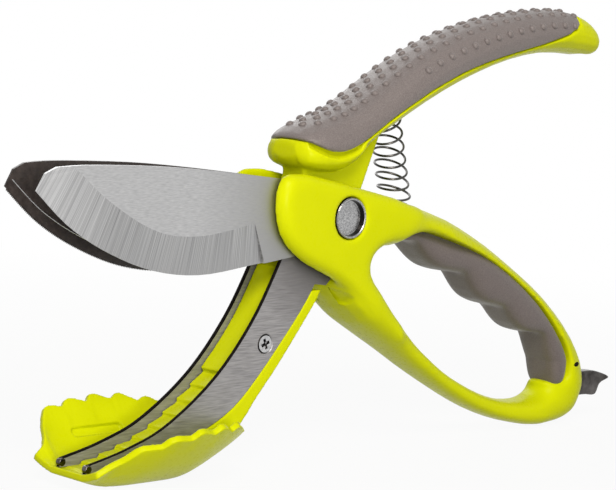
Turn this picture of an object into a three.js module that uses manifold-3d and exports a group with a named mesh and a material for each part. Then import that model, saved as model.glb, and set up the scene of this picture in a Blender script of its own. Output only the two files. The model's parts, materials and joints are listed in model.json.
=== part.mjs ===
// Salad scissors: a loop handle that holds two blades, and a sprung jaw with a spoon and two steel rails.
// Millimetres, +Z up. The jaw tips point along -X, the pivot axis is Y, and -Y is the near side.
// Every piece is drawn about the pivot; the last lines stand the whole on Z = 0.

import * as THREE from 'three';
import { mergeVertices } from 'three/addons/utils/BufferGeometryUtils.js';
import Module from 'manifold-3d';

const wasm = await Module();
wasm.setup();

// Driving dimensions
const BLADE_REACH = 122.5;      // pivot to blade tip
const JAW_DROP = 79.8;          // pivot down to the level that the spoon stands on
const CLEARANCE = 0.3;          // gap kept between neighbouring pieces
const WEB_HALF = 5.2;           // half thickness of the jaw core and the handle web
const RAIL_THICK = 1.5;
const BLADE_THICK = 1.6;
const EDGE_THICK = 0.4;         // blade thickness left at the cutting edge
const CHEEK_WALL = 4.8;
const BOLT_DIA = 8;
const BOLT_HEAD_DIA = 13.4;
const BOLT_HEAD_HEIGHT = 2.6;
const BUSH_WALL = 1.5;
const TANG_RADIUS = 11;         // blade and rail plates round the pivot
const WEB_RADIUS = 13;          // handle web round the pivot
const CLEVIS_RADIUS = 18;       // clear room round the pivot inside the clevis
const CLEVIS_ROUNDING = 4.2;
const SHELL_SPLIT = 0.15;       // each half shell stops this far from the middle plane
const GRIP_HALF = 8.6;          // half width of the finger grip
const GRIP_ROUNDING = 3.2;
const GRIP_WALL = 2.6;          // soft grip over the handle core
const RAIL_SCREW_HEAD_DIA = 6.2;
const RAIL_SCREW_DIA = 3;
const RAIL_SCREW_LENGTH = 5.6;
const SHELL_SCREW_HEAD_DIA = 5;
const SHELL_SCREW_DIA = 2.8;
const SHELL_SCREW_HEAD_Y = 4.6; // the heads sit this far from the middle plane
const SHELL_SCREW_HEAD_HEIGHT = 2;
const SHELL_SCREW_REACH = 4.4;  // how far a shell screw enters the near shell
const BLADE_PIN_DIA = 4;
const BLADE_PIN_DEPTH = 2.6;    // how far a blade pin enters the cheek
const BOWL_WALL = 2.2;
const FOOT_HALF = 7.6;          // half width of the flat under the spoon
const TOOTH_PITCH = 9.6;
const TOOTH_DEPTH = 2;
const STEP_PITCH = 6.6;         // steps on the jaw core between the rails
const STEP_HEIGHT = 1.1;
const STEP_COUNT = 9;
const RAIL_RISE = 3;            // the rails stand this far above the jaw core
const SPRING_WIRE = 0.8;
const SPRING_RADIUS = 5.4;
const SPRING_TURNS = 7;
const SPRING_TILT = 24;         // degrees that the last coil leans
const SPIGOT_RADIUS = 4.2;
const SPIGOT_HEIGHT = 1.4;
const LOCK_HALF = 2.3;
const LOCK_PIN_DIA = 3;
const LOCK_EYE_RADIUS = 4.6;
const LOCK_SWEEP = 26;          // how far the catch reaches from its pin

// Where the layers lie across the pivot axis
const RAIL_IN = WEB_HALF + CLEARANCE;
const RAIL_OUT = RAIL_IN + RAIL_THICK;
const BLADE_IN = RAIL_OUT + CLEARANCE;
const BLADE_OUT = BLADE_IN + BLADE_THICK;
const CHEEK_IN = BLADE_OUT + CLEARANCE;
const CHEEK_OUT = CHEEK_IN + CHEEK_WALL;
const BUSH_RADIUS = BOLT_DIA / 2 + CLEARANCE + BUSH_WALL;

// Places in the side view, as [x, z]
const RAIL_SCREW_FRONT = [-29, -40];
const RAIL_SCREW_REAR = [-9.6, 4.4];
const BLADE_PIN = [-17, 2];
const SHELL_SCREWS = [[14, -25], [43, -2.8], [121, -73.6]];
const LOCK_PIN = [129.5, -66.6];
const SPRING_FOOT = [34.5, 1.6];
const SPRING_HEAD = [27, 34];
const SPRING_POCKET_RADIUS = SPRING_RADIUS + SPRING_WIRE + 0.8;
const CATCH = { x: 126.5, length: 8, top: 60 };

// Materials
const finish = (color, roughness, metalness) =>
  new THREE.MeshStandardMaterial({ color, roughness, metalness });
const LIME = finish(0xc6d30a, 0.35, 0);
const SOFT_GREY = finish(0x6f6664, 0.8, 0);
const STEEL = finish(0xb9babb, 0.35, 1);
const DARK_STEEL = finish(0x3a322e, 0.4, 1);
const CHROME = finish(0xc9cacc, 0.18, 1);
const GUNMETAL = finish(0x4b4645, 0.3, 1);

// Solids and booleans
function solid(geometry) {
  const bare = geometry.clone();
  for (const name of Object.keys(bare.attributes)) {
    if (name !== 'position') bare.deleteAttribute(name);
  }
  const merged = mergeVertices(bare, 1e-4);
  const corners = merged.index.array;
  const triangles = [];
  for (let i = 0; i < corners.length; i += 3) {
    const [a, b, c] = corners.slice(i, i + 3);
    if (a !== b && b !== c && c !== a) triangles.push(a, b, c);
  }
  return new wasm.Manifold(new wasm.Mesh({
    numProp: 3,
    vertProperties: new Float32Array(merged.attributes.position.array),
    triVerts: new Uint32Array(triangles),
  }));
}

function piece(name, body, material) {
  const mesh = body.getMesh();
  const geometry = new THREE.BufferGeometry();
  geometry.setAttribute('position', new THREE.BufferAttribute(new Float32Array(mesh.vertProperties), 3));
  geometry.setIndex(new THREE.BufferAttribute(new Uint32Array(mesh.triVerts), 1));
  geometry.computeVertexNormals();
  const result = new THREE.Mesh(geometry, material);
  result.name = name;
  return result;
}

const join = (...bodies) => bodies.reduce((sum, body) => sum.add(body));
const cut = (body, ...tools) => tools.reduce((rest, tool) => rest.subtract(tool), body);

// Outlines in the side view
const at = ([x, z]) => new THREE.Vector2(x, z);
// Outlines in shares of a main size: [share of the reach, z] on the blades, and
// [..., share of the drop] on the jaw
const alongBlade = ([share, z]) => [-share * BLADE_REACH, z];
const downJaw = (point) => [...point.slice(0, -1), -point.at(-1) * JAW_DROP];
const spline = (points, parts) => new THREE.SplineCurve(points.map(at)).getPoints(parts);

function arc(centre, radius, from, to, parts) {
  const points = [];
  for (let i = 0; i <= parts; i += 1) {
    const angle = THREE.MathUtils.degToRad(from + ((to - from) * i) / parts);
    points.push(at([centre[0] + radius * Math.cos(angle), centre[1] + radius * Math.sin(angle)]));
  }
  return points;
}

// A flat plate of the given outline between two values of Y
function plate(outline, low, high) {
  const shape = new THREE.Shape(outline);
  const geometry = new THREE.ExtrudeGeometry(shape, { depth: high - low, bevelEnabled: false });
  geometry.rotateX(Math.PI / 2);
  geometry.translate(0, high, 0);
  return solid(geometry);
}

// Side-view normals of a closed outline, pointing outwards on a counterclockwise one
function outwardNormals(outline) {
  return outline.map((point, i) => {
    const before = outline[(i + outline.length - 1) % outline.length];
    const after = outline[(i + 1) % outline.length];
    return after.clone().sub(before).rotateAround(new THREE.Vector2(), -Math.PI / 2).normalize();
  });
}

// A thick plate, centred on the middle plane, whose two rims are rounded in steps
function pillow(outline, half, rounding, segments) {
  const ring = THREE.ShapeUtils.isClockWise(outline) ? outline.slice().reverse() : outline;
  const normals = outwardNormals(ring);
  const layers = [];
  for (let k = -segments; k <= segments; k += 1) {
    const angle = (Math.abs(k) / segments) * (Math.PI / 2);
    const inset = rounding * (1 - Math.cos(angle));
    const y = Math.sign(k) * (half - rounding + rounding * Math.sin(angle));
    const points = ring.map((p, i) => p.clone().addScaledVector(normals[i], -inset));
    if (k !== 0) layers.push({ y, points });
  }
  layers.splice(segments, 0, { y: -(half - rounding), points: ring }, { y: half - rounding, points: ring });
  const count = ring.length;
  const positions = layers.flatMap(({ y, points }) => points.flatMap((p) => [p.x, y, p.y]));
  const index = [];
  for (let i = 0; i < layers.length - 1; i += 1) {
    for (let j = 0; j < count; j += 1) {
      const k = (j + 1) % count;
      const here = i * count;
      const next = here + count;
      index.push(here + j, here + k, next + j, here + k, next + k, next + j);
    }
  }
  const last = (layers.length - 1) * count;
  for (const [a, b, c] of THREE.ShapeUtils.triangulateShape(ring, [])) {
    index.push(a, c, b);
    index.push(last + a, last + b, last + c);
  }
  return closedBody(positions, index);
}

// A closed body from points and triangles, with its faces turned outwards
function closedBody(positions, index) {
  const geometry = new THREE.BufferGeometry();
  geometry.setAttribute('position', new THREE.Float32BufferAttribute(positions, 3));
  geometry.setIndex(index);
  const body = solid(geometry);
  return body.volume() < 0 ? solid(flipped(geometry)) : body;
}

// A body turned about an axis along Y through [x, z]; the profile lists [radius, y]
function turned([x, z], profile, parts = 24) {
  const geometry = new THREE.LatheGeometry(profile.map(([radius, y]) => new THREE.Vector2(radius, y)), parts);
  geometry.translate(x, 0, z);
  const body = solid(geometry);
  return body.volume() < 0 ? solid(flipped(geometry)) : body;
}

function flipped(geometry) {
  const copy = geometry.clone();
  const index = Array.from(copy.index.array);
  for (let i = 0; i < index.length; i += 3) [index[i], index[i + 1]] = [index[i + 1], index[i]];
  copy.setIndex(index);
  return copy;
}

const rod = (centre, radius, low, high, parts = 20) =>
  turned(centre, [[0, low], [radius, low], [radius, high], [0, high]], parts);

const mirrored = (body) => body.mirror([0, 1, 0]);

// Triangles that close a flat ring, in the ring's own turning sense
function capTriangles(ring) {
  const normal = new THREE.Vector3();
  ring.forEach((point, i) => normal.add(point.clone().cross(ring[(i + 1) % ring.length])));
  const sizes = normal.toArray().map(Math.abs);
  const dropped = sizes.indexOf(Math.max(...sizes));
  const flat = ring.map((point) => {
    const kept = point.toArray().filter((value, axis) => axis !== dropped);
    return new THREE.Vector2(...kept);
  });
  const turn = THREE.ShapeUtils.area(flat) > 0;
  return THREE.ShapeUtils.triangulateShape(flat, []).map(([a, b, c]) => (turn ? [a, b, c] : [a, c, b]));
}

// A closed body through rings of points that have the same count; capped, or joined end to end
function skin(rings, joined = false) {
  const count = rings[0].length;
  const positions = rings.flat().flatMap((p) => [p.x, p.y, p.z]);
  const index = [];
  const spans = joined ? rings.length : rings.length - 1;
  for (let i = 0; i < spans; i += 1) {
    const here = i * count;
    const next = ((i + 1) % rings.length) * count;
    for (let j = 0; j < count; j += 1) {
      const k = (j + 1) % count;
      index.push(here + j, next + j, here + k, here + k, next + j, next + k);
    }
  }
  if (!joined) {
    const last = (rings.length - 1) * count;
    for (const [a, b, c] of capTriangles(rings[0])) index.push(a, b, c);
    for (const [a, b, c] of capTriangles(rings.at(-1))) index.push(last + a, last + c, last + b);
  }
  return closedBody(positions, index);
}

// An oval ring: spread along a side-view direction and along Y, squarer with a higher power
function oval(centre, direction, reach, half, power, parts) {
  const ring = [];
  for (let i = 0; i < parts; i += 1) {
    const angle = (2 * Math.PI * i) / parts;
    const c = Math.cos(angle);
    const s = Math.sin(angle);
    const along = reach * Math.sign(c) * Math.abs(c) ** (2 / power);
    const across = half * Math.sign(s) * Math.abs(s) ** (2 / power);
    ring.push(new THREE.Vector3(centre.x + along * direction.x, across, centre.y + along * direction.y));
  }
  return ring;
}

// Loop handle: stations round the loop as [x, z, half width in the side view, half thickness]
const LOOP_STATIONS = [
  [17, -2.4, 8.4, 14],
  [43, -7.6, 8.6, 13.2],
  [66, -16.8, 9, 10.2],
  [86, -28, 9.6, 9],
  [105, -41, 10.4, 9],
  [120.5, -56, 10.8, 9],
  [126, -67.4, 10.8, 8.8],
  [113.5, -74, 5.7, 8.2],
  [97, -73.4, 3.9, 7.4],
  [80.5, -69, 3.3, 6.8],
  [62.5, -61, 3, 7],
  [47, -52.2, 3.2, 8.6],
  [31, -41.4, 4.4, 12],
  [12.5, -27.4, 6.6, 13.6],
  [3, -13, 8, 12.6],
];
const LOOP_RINGS = 46;
const LOOP_SIDES = 14;
const LOOP_SQUARENESS = 2.5;

function loopSweep() {
  const line = new THREE.CatmullRomCurve3(LOOP_STATIONS.map(([x, z]) => new THREE.Vector3(x, 0, z)), true);
  const halves = LOOP_STATIONS.map(([, , a, b]) => new THREE.Vector3(a, b, 0));
  const sizes = new THREE.CatmullRomCurve3(halves, true);
  const rings = [];
  for (let i = 0; i < LOOP_RINGS; i += 1) {
    const centre = line.getPoint(i / LOOP_RINGS);
    const tangent = line.getTangent(i / LOOP_RINGS);
    const size = sizes.getPoint(i / LOOP_RINGS);
    const outward = new THREE.Vector2(tangent.z, -tangent.x).multiplyScalar(-1);
    const middle = new THREE.Vector2(centre.x, centre.z);
    rings.push(oval(middle, outward, size.x, size.y, LOOP_SQUARENESS, LOOP_SIDES));
  }
  return skin(rings, true);
}

// Clevis that carries the blades, drawn as one rounded body before its slot is cut
const CLEVIS_FRONT = [[-25, 14.6], [-28.6, 13], [-30.8, 6], [-29, -3], [-25, -8.6], [-19, -13.2],
  [-12, -16.6],
  [-4.5, -19.8], [2.4, -24], [10, -30], [21, -37.6], [31, -44.6]];
const CLEVIS_HOLE = [[31.5, -38.4], [20, -27], [12.8, -19], [13.6, -13], [21, -9.4], [33, -10]];
const CLEVIS_TOP = [[38, 2], [30, 4.3], [21, 6.4], [7, 9.4], [-6, 12.2], [-19, 14.6]];

function clevis() {
  const outline = [...spline(CLEVIS_FRONT, 24), ...spline(CLEVIS_HOLE, 12), ...spline(CLEVIS_TOP, 8)];
  return pillow(outline, CHEEK_OUT, CLEVIS_ROUNDING, 3);
}

// Room for the blades, the rails and the handle web; its rear wall is the opening stop
const STOP_WALL = -0.9;

function clevisSlot() {
  const outline = [
    ...[[-60, -70], [STOP_WALL, -40], [STOP_WALL, -19.6]].map(at),
    ...arc([0, 0], CLEVIS_RADIUS, -72, -10, 10),
    ...[[30, 2.6], [34, 30], [-60, 30]].map(at),
  ];
  return plate(outline, -CHEEK_IN, CHEEK_IN);
}

// Finger grip: the edge it shares with the shell, and the lobes towards the hole
const GRIP_EDGE = [[28, -8.6], [39, -6.2], [54, -9.6], [72, -15.6], [87, -22.8], [102, -32], [112.5, -41],
  [120, -49.5], [123.4, -56], [123.2, -62.4]];
const GRIP_NOTCHES = [[38.5, -10], [65, -21.6], [87, -34.8], [109.4, -45.4], [118.8, -63]];
const LOBE_HEIGHT = 3.6;
const LAST_LOBE_HEIGHT = 0.6;

function lobes() {
  const points = [];
  for (let i = GRIP_NOTCHES.length - 1; i > 0; i -= 1) {
    const from = at(GRIP_NOTCHES[i]);
    const to = at(GRIP_NOTCHES[i - 1]);
    const outward = to.clone().sub(from).rotateAround(new THREE.Vector2(), Math.PI / 2).normalize();
    const height = i === GRIP_NOTCHES.length - 1 ? LAST_LOBE_HEIGHT : LOBE_HEIGHT;
    const crown = from.clone().lerp(to, 0.5).addScaledVector(outward, height);
    points.push(...new THREE.SplineCurve([from, crown, to]).getPoints(6).slice(0, -1));
  }
  return points;
}

const gripEdge = () => spline(GRIP_EDGE, 24);

function fingerGrip() {
  const outline = [...gripEdge(), ...lobes(), at(GRIP_NOTCHES[0])];
  return pillow(outline, GRIP_HALF, GRIP_ROUNDING, 2);
}

// The part of the loop that the grip takes up, a clearance larger along the shared edge
function gripRoom() {
  const edge = gripEdge();
  const grown = edge.map((point, i) => {
    const before = edge[Math.max(i - 1, 0)];
    const after = edge[Math.min(i + 1, edge.length - 1)];
    const normal = after.clone().sub(before).rotateAround(new THREE.Vector2(), Math.PI / 2).normalize();
    return point.clone().addScaledVector(normal, CLEARANCE);
  });
  const inside = [[123.5, -63.5], [117, -63.7], [109, -62.5], [98, -55], [60, -40], [26, -13]].map(at);
  return plate([...grown, ...inside], -CHEEK_OUT, CHEEK_OUT);
}

// Blade: top edge and cutting edge meet at the tip; the tang goes round the pivot
const BLADE_TOP = [[0.943, 17.2], [0.841, 17.7], [0.62, 17], [0.433, 15.3], [0.229, 12.8]].map(alongBlade);
const BLADE_TIP = [-BLADE_REACH, 10.4];
const BLADE_CORNER = [2.9 - BLADE_REACH, 15.4];
const BLADE_EDGE = [[0.898, -0.2], [0.776, -8.4], [0.629, -14.6], [0.473, -16.6], [0.294, -14.2],
  [0.18, -12.4]].map(alongBlade);
const BEVEL_EDGE = [[0.925, 18.6], [0.882, 15.8], [0.816, 9.4], [0.743, 3.8], [0.669, -0.8],
  [0.588, -3.8], [0.49, -4.4], [0.392, -3], [0.31, -1]].map(alongBlade);
const BEVEL_FOOT = [[0.998, 19.4], [1.006, 9.8], [0.914, 1.4], [0.833, -4.8], [0.747, -10],
  [0.629, -14.6], [0.506, -16.5], [0.392, -16], [0.269, -13.9]].map(alongBlade);
const BEVEL_OVERRUN = 0.35;

function bladeOutline() {
  return [
    at(BLADE_TIP),
    ...spline([BLADE_TIP, ...BLADE_EDGE], 26).slice(1),
    ...arc([0, 0], TANG_RADIUS, -100, 95, 14),
    ...spline(BLADE_TOP, 14).reverse(),
    at(BLADE_CORNER),
  ];
}

// Hollow-ground flank: a wedge taken off the outer face between the bevel's edge and the cutting edge
function bevelTool() {
  const parts = 28;
  const upper = spline(BEVEL_EDGE, parts);
  const lower = spline(BEVEL_FOOT, parts);
  const rings = upper.map((high, i) => {
    const low = high.clone().lerp(lower[i], 1 + BEVEL_OVERRUN);
    const drop = (BLADE_THICK - EDGE_THICK) * (1 + BEVEL_OVERRUN);
    return [
      new THREE.Vector3(high.x, -BLADE_OUT, high.y),
      new THREE.Vector3(low.x, -BLADE_OUT + drop, low.y),
      new THREE.Vector3(low.x, -BLADE_OUT - 1, low.y),
      new THREE.Vector3(high.x, -BLADE_OUT - 1, high.y),
    ];
  });
  return skin(rings);
}

function nearBlade() {
  return cut(
    plate(bladeOutline(), -BLADE_OUT, -BLADE_IN),
    bevelTool(),
    rod([0, 0], BOLT_DIA / 2 + CLEARANCE, -20, 0),
    rod(BLADE_PIN, BLADE_PIN_DIA / 2 + CLEARANCE, -20, 0),
  );
}

// Rails: the upper edge runs from the pivot to the tip, the lower edge back to the stop lug
const RAIL_UPPER = [[-10.5, -0.05], [-19, 0.038], [-24.5, 0.188], [-35, 0.414], [-49.5, 0.622],
  [-68, 0.786], [-84, 0.862], [-99, 0.906]].map(downJaw);
const RAIL_LOWER = [[-99.6, 0.935], [-86, 0.93], [-70, 0.89], [-53, 0.818], [-41.4, 0.742], [-32, 0.634],
  [-22, 0.494], [-13.6, 0.367], [-8.5, 0.273]].map(downJaw);
const RAIL_LUG = [[-3.4, -22.4], [-1.6, -20.6], [-1.8, -17.6], [2, -11]];

function nearRail() {
  const outline = [
    ...spline(RAIL_UPPER, 30),
    ...spline(RAIL_LOWER, 22),
    ...RAIL_LUG.map(at),
    ...arc([0, 0], TANG_RADIUS, -70, 150, 14),
  ];
  return cut(
    plate(outline, -RAIL_OUT, -RAIL_IN),
    rod([0, 0], BUSH_RADIUS + CLEARANCE, -20, 0),
    railScrew(RAIL_SCREW_FRONT, CLEARANCE),
    railScrew(RAIL_SCREW_REAR, CLEARANCE),
  );
}

// Countersunk screw, head flush with the rail; grown by a gap it is the tool for its hole
function railScrew(place, gap) {
  const head = RAIL_SCREW_HEAD_DIA / 2 + gap;
  const shank = RAIL_SCREW_DIA / 2 + gap;
  const face = -RAIL_OUT - (gap > 0 ? 1 : 0);
  const seat = -RAIL_OUT + (RAIL_SCREW_HEAD_DIA - RAIL_SCREW_DIA) / 2;
  const tip = -RAIL_OUT + RAIL_SCREW_LENGTH + gap;
  const profile = [[0, face], [head, face], [head, -RAIL_OUT], [shank, seat], [shank, tip], [0, tip]];
  return turned(place, profile, 18);
}

// Jaw: core between the rails, spine below them, and the spoon's bowl
const SPINE_LOWER = [[-5.6, 0.298], [-7.4, 0.343], [-16, 0.484], [-24, 0.609], [-32, 0.722], [-38, 0.815], [-48, 0.897],
  [-60, 0.965], [-70, 0.987], [-88, 0.982], [-99, 0.95]].map(downJaw);
const CORE_OVERLAP = 1.5;      // the core sinks this far into the spine

function drop(curve, amount) {
  return curve.map((point, i) => {
    const before = curve[Math.max(i - 1, 0)];
    const after = curve[Math.min(i + 1, curve.length - 1)];
    const normal = after.clone().sub(before).rotateAround(new THREE.Vector2(), Math.PI / 2).normalize();
    return point.clone().addScaledVector(normal, amount);
  });
}

function jawSpine() {
  const upper = drop(spline(RAIL_LOWER, 22), -CLEARANCE).slice(0, -1);
  return plate([...upper, ...spline(SPINE_LOWER, 22)], -RAIL_OUT, RAIL_OUT);
}

// The core's top follows the rails, and rises in steps towards the root
function jawCore() {
  const guide = new THREE.SplineCurve(RAIL_UPPER.slice(2).map(at));
  const length = guide.getLength();
  const first = 1 - (STEP_COUNT * STEP_PITCH) / length;
  const top = [];
  for (let i = 0; i <= 6; i += 1) top.push(lowered(guide, (first * i) / 6, RAIL_RISE - 1.2));
  for (let i = 0; i < STEP_COUNT; i += 1) {
    const from = first + (i * STEP_PITCH) / length;
    const to = Math.min(from + STEP_PITCH / length, 0.985);
    top.push(lowered(guide, from + 0.002, RAIL_RISE + STEP_HEIGHT / 2));
    top.push(lowered(guide, to - 0.002, RAIL_RISE - STEP_HEIGHT / 2));
  }
  const lower = drop(spline(RAIL_LOWER, 22), -CORE_OVERLAP);
  const root = [...arc([0, 0], WEB_RADIUS + CLEARANCE, -105, -142, 6)];
  return plate([...top, ...lower, ...root], -WEB_HALF, WEB_HALF);
}

function lowered(guide, share, amount) {
  const point = guide.getPointAt(share);
  const tangent = guide.getTangentAt(share);
  return point.add(new THREE.Vector2(-tangent.y, tangent.x).multiplyScalar(amount));
}

// Bowl: the outer floor as [x, z], and each rim as [x, y, z]
const BOWL_FLOOR = [[-41, 0.87], [-48, 0.915], [-55, 0.957], [-61.5, 0.99], [-67, 1.003], [-84, 1.003],
  [-91, 0.992], [-97, 0.977], [-101.5, 0.957]].map(downJaw);
const NEAR_RIM = [[-41, -12.5, 0.827], [-52, -21, 0.794], [-66, -26, 0.782], [-80, -26, 0.802],
  [-91, -21, 0.845], [-97, -17, 0.89], [-101.5, -15, 0.932]].map(downJaw);
const FAR_RIM = [[-41, 12.5, 0.827], [-52, 22, 0.782], [-66, 26, 0.759], [-80, 26, 0.764],
  [-90, 25.4, 0.784], [-94.5, 22.6, 0.822], [-97.6, 17.4, 0.88], [-101.5, 16.2, 0.927]].map(downJaw);
const BOWL_STATIONS = 36;
const BOWL_SIDES = 4;
const TOOTH_RANGE = [-94, -47];

// The point of a curve at a given x; x falls all along the curve
function pointAtX(curve, x) {
  let low = 0;
  let high = 1;
  for (let i = 0; i < 40; i += 1) {
    const middle = (low + high) / 2;
    if (curve.getPoint(middle).x > x) low = middle;
    else high = middle;
  }
  return curve.getPoint((low + high) / 2).setX(x);
}

const smooth = (points) => new THREE.CatmullRomCurve3(points.map((p) => new THREE.Vector3(...p)));
const nearRim = smooth(NEAR_RIM);
const farRim = smooth(FAR_RIM);
const bowlFloor = smooth(BOWL_FLOOR.map(([x, z]) => [x, 0, z]));

// A tooth rises sharply at its front and slopes away behind
function tooth(x) {
  const [front, rear] = TOOTH_RANGE;
  if (x < front || x > rear) return 0;
  const phase = (((x - front) / TOOTH_PITCH) % 1 + 1) % 1;
  const rise = Math.min(phase / 0.18, 1);
  const fall = Math.min((1 - phase) / 0.6, 1);
  return TOOTH_DEPTH * Math.min(rise, fall);
}

function bowlSection(x) {
  const floor = pointAtX(bowlFloor, x);
  floor.z = Math.max(floor.z, -JAW_DROP);
  const outer = [];
  for (const rim of [pointAtX(nearRim, x), pointAtX(farRim, x)]) {
    const side = Math.sign(rim.y);
    const foot = new THREE.Vector3(floor.x, side * Math.min(FOOT_HALF, Math.abs(rim.y) - 2), floor.z);
    const lift = rim.clone().sub(foot).normalize().multiplyScalar(tooth(rim.x));
    const arm = [];
    for (let i = 0; i <= BOWL_SIDES; i += 1) {
      const t = i / BOWL_SIDES;
      const point = foot.clone().lerp(rim.clone().add(lift), t);
      point.z -= 0.12 * (rim.z - foot.z) * Math.sin(Math.PI * t);
      arm.push(point);
    }
    outer.push(side < 0 ? arm.reverse() : arm);
  }
  return outer.flat();
}

function bowl() {
  const rings = [];
  for (let i = 0; i <= BOWL_STATIONS; i += 1) {
    const x = THREE.MathUtils.lerp(BOWL_FLOOR[0][0], BOWL_FLOOR.at(-1)[0], i / BOWL_STATIONS);
    const outer = bowlSection(x);
    const inner = outer.map((point, j) => {
      const before = outer[Math.max(j - 1, 0)];
      const after = outer[Math.min(j + 1, outer.length - 1)];
      const normal = new THREE.Vector3(0, before.z - after.z, after.y - before.y).normalize();
      return point.clone().addScaledVector(normal, BOWL_WALL);
    });
    rings.push([...outer, ...inner.reverse()]);
  }
  return skin(rings);
}

// Drain slots, sunk into the inner face of each wing
const SLOT = { x: -75, length: 20, width: 3.4, y: 20, depth: 1.2 };

function slotTool(side) {
  const half = SLOT.length / 2 - SLOT.width / 2;
  const outline = new THREE.Shape();
  outline.absarc(half, 0, SLOT.width / 2, -Math.PI / 2, Math.PI / 2, false);
  outline.absarc(-half, 0, SLOT.width / 2, Math.PI / 2, Math.PI * 1.5, false);
  const wing = bowlSection(SLOT.x).filter((point) => Math.sign(point.y) === side);
  wing.sort((a, b) => Math.abs(a.y) - Math.abs(b.y));
  const k = wing.findIndex((point) => Math.abs(point.y) > SLOT.y);
  const slope = Math.atan2(wing[k].z - wing[k - 1].z, Math.abs(wing[k].y) - Math.abs(wing[k - 1].y));
  const share = (SLOT.y - Math.abs(wing[k - 1].y)) / (Math.abs(wing[k].y) - Math.abs(wing[k - 1].y));
  const face = wing[k - 1].clone().lerp(wing[k], share);
  const geometry = new THREE.ExtrudeGeometry(outline, { depth: 6, bevelEnabled: false, curveSegments: 8 });
  geometry.translate(0, 0, BOWL_WALL - SLOT.depth);
  geometry.rotateX(side * slope);
  geometry.translate(face.x, face.y, face.z);
  return solid(geometry);
}

function jawSpoon() {
  const screw = railScrew(RAIL_SCREW_FRONT, CLEARANCE);
  return cut(
    join(jawSpine(), jawCore(), bowl()),
    screw,
    mirrored(screw),
  );
}

// Upper handle: sections as [top x, top z, bottom x, bottom z, half width]
const HANDLE_SECTIONS = [
  [-18.6, 23.4, -18.6, 18.8, 5.6],
  [-16.8, 27, -16.4, 16, 10.2],
  [-10.5, 30.4, -10, 14.7, 12.6],
  [0, 34, 1, 14.8, 13.2],
  [11, 38.8, 10, 21.4, 13.2],
  [24, 46.8, 22, 28, 13.2],
  [40, 55.6, 41, 37.2, 12.6],
  [58, 62.4, 60, 45, 12],
  [77, 67.2, 79, 51.2, 11.6],
  [96, 70, 97, 54.8, 11],
  [111, 70.8, 112, 55.6, 10.4],
  [121, 69.4, 122.6, 55.2, 9.6],
  [127.6, 66, 129, 55.2, 8.2],
  [130.4, 62.6, 130.8, 57, 5.6],
];
const HANDLE_RINGS = 27;
const HANDLE_SIDES = 16;
const HANDLE_SQUARENESS = 2.25;

function handleLoft(inset) {
  const tops = new THREE.CatmullRomCurve3(HANDLE_SECTIONS.map(([x, z]) => new THREE.Vector3(x, 0, z)));
  const feet = new THREE.CatmullRomCurve3(HANDLE_SECTIONS.map(([, , x, z, w]) => new THREE.Vector3(x, w, z)));
  const rings = [];
  for (let i = 0; i <= HANDLE_RINGS; i += 1) {
    const top = tops.getPoint(i / HANDLE_RINGS);
    const foot = feet.getPoint(i / HANDLE_RINGS);
    const span = new THREE.Vector2(top.x - foot.x, top.z - foot.z);
    const middle = new THREE.Vector2((top.x + foot.x) / 2, (top.z + foot.z) / 2);
    const reach = Math.max(span.length() / 2 - inset, 0.6);
    const half = Math.max(foot.y - inset, 0.6);
    rings.push(oval(middle, span.normalize(), reach, half, HANDLE_SQUARENESS, HANDLE_SIDES));
  }
  return skin(rings);
}

// The lower edge of the soft grip, from the front round the end
const SOFT_EDGE = [[-24, 27.4], [-17, 24.4], [-10, 21.6], [-4, 21], [2, 22.6], [9, 26], [19, 32],
  [33, 39.2], [49, 46],
  [66, 51.4], [96, 58.4], [109, 62.2], [116, 66]];
const SOFT_END = [118.5, 76];

function softRoom(gap) {
  const edge = drop(spline(SOFT_EDGE, 36), -gap);
  const end = at([SOFT_END[0] + gap, SOFT_END[1]]);
  return plate([...edge, end, at([-30, SOFT_END[1]])], -20, 20);
}

// Web: joins the handle to the pivot between the two rails
const WEB_FRONT = [[-11, 24], [-14, 17], [-14.8, 8], [-12.8, -3]];
const WEB_REAR = [[12.4, 8], [21, 29]];

function handleWeb() {
  const outline = [...WEB_FRONT.map(at), ...arc([0, 0], WEB_RADIUS, -160, 20, 16), ...WEB_REAR.map(at)];
  return plate(outline, -WEB_HALF, WEB_HALF);
}

function springPocket() {
  const geometry = new THREE.CylinderGeometry(SPRING_POCKET_RADIUS, SPRING_POCKET_RADIUS, 20, 24);
  geometry.rotateX(Math.PI / 2);
  geometry.translate(SPRING_HEAD[0], 0, SPRING_HEAD[1] + CLEARANCE - 10);
  return solid(geometry);
}

function catchNotch() {
  const { x, length, top } = CATCH;
  const low = top - 12;
  const outline = [[-1, low], [1, low], [1, top], [-1, top]].map(([side, z]) => [x + (side * length) / 2, z]);
  return plate(outline.map(at), -LOCK_HALF - 1, LOCK_HALF + 1);
}

function upperHandle() {
  const screw = railScrew(RAIL_SCREW_REAR, CLEARANCE);
  const shell = cut(handleLoft(0), softRoom(0));
  const core = cut(handleLoft(GRIP_WALL), springPocket());
  return cut(
    join(cut(shell, springPocket()), core, handleWeb()),
    rod([0, 0], BUSH_RADIUS + CLEARANCE, -20, 20),
    screw,
    mirrored(screw),
    catchNotch(),
  );
}

function upperGrip() {
  return cut(handleLoft(0).intersect(softRoom(-CLEARANCE)), handleLoft(GRIP_WALL - CLEARANCE));
}

// Pivot: a bolt from the near side, a nut on the far side, and the jaw's bush round the shank
const HEAD_SEAT = CHEEK_OUT - BOLT_HEAD_HEIGHT;
const NUT_BORE = 1.6;

function pivotBolt() {
  const head = BOLT_HEAD_DIA / 2;
  const shank = BOLT_DIA / 2;
  return turned([0, 0], [
    [0, -CHEEK_OUT], [head - 1.2, -CHEEK_OUT], [head, -CHEEK_OUT + 0.8], [head, -HEAD_SEAT],
    [shank, -HEAD_SEAT], [shank, HEAD_SEAT + NUT_BORE - CLEARANCE], [0, HEAD_SEAT + NUT_BORE - CLEARANCE],
  ], 28);
}

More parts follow.
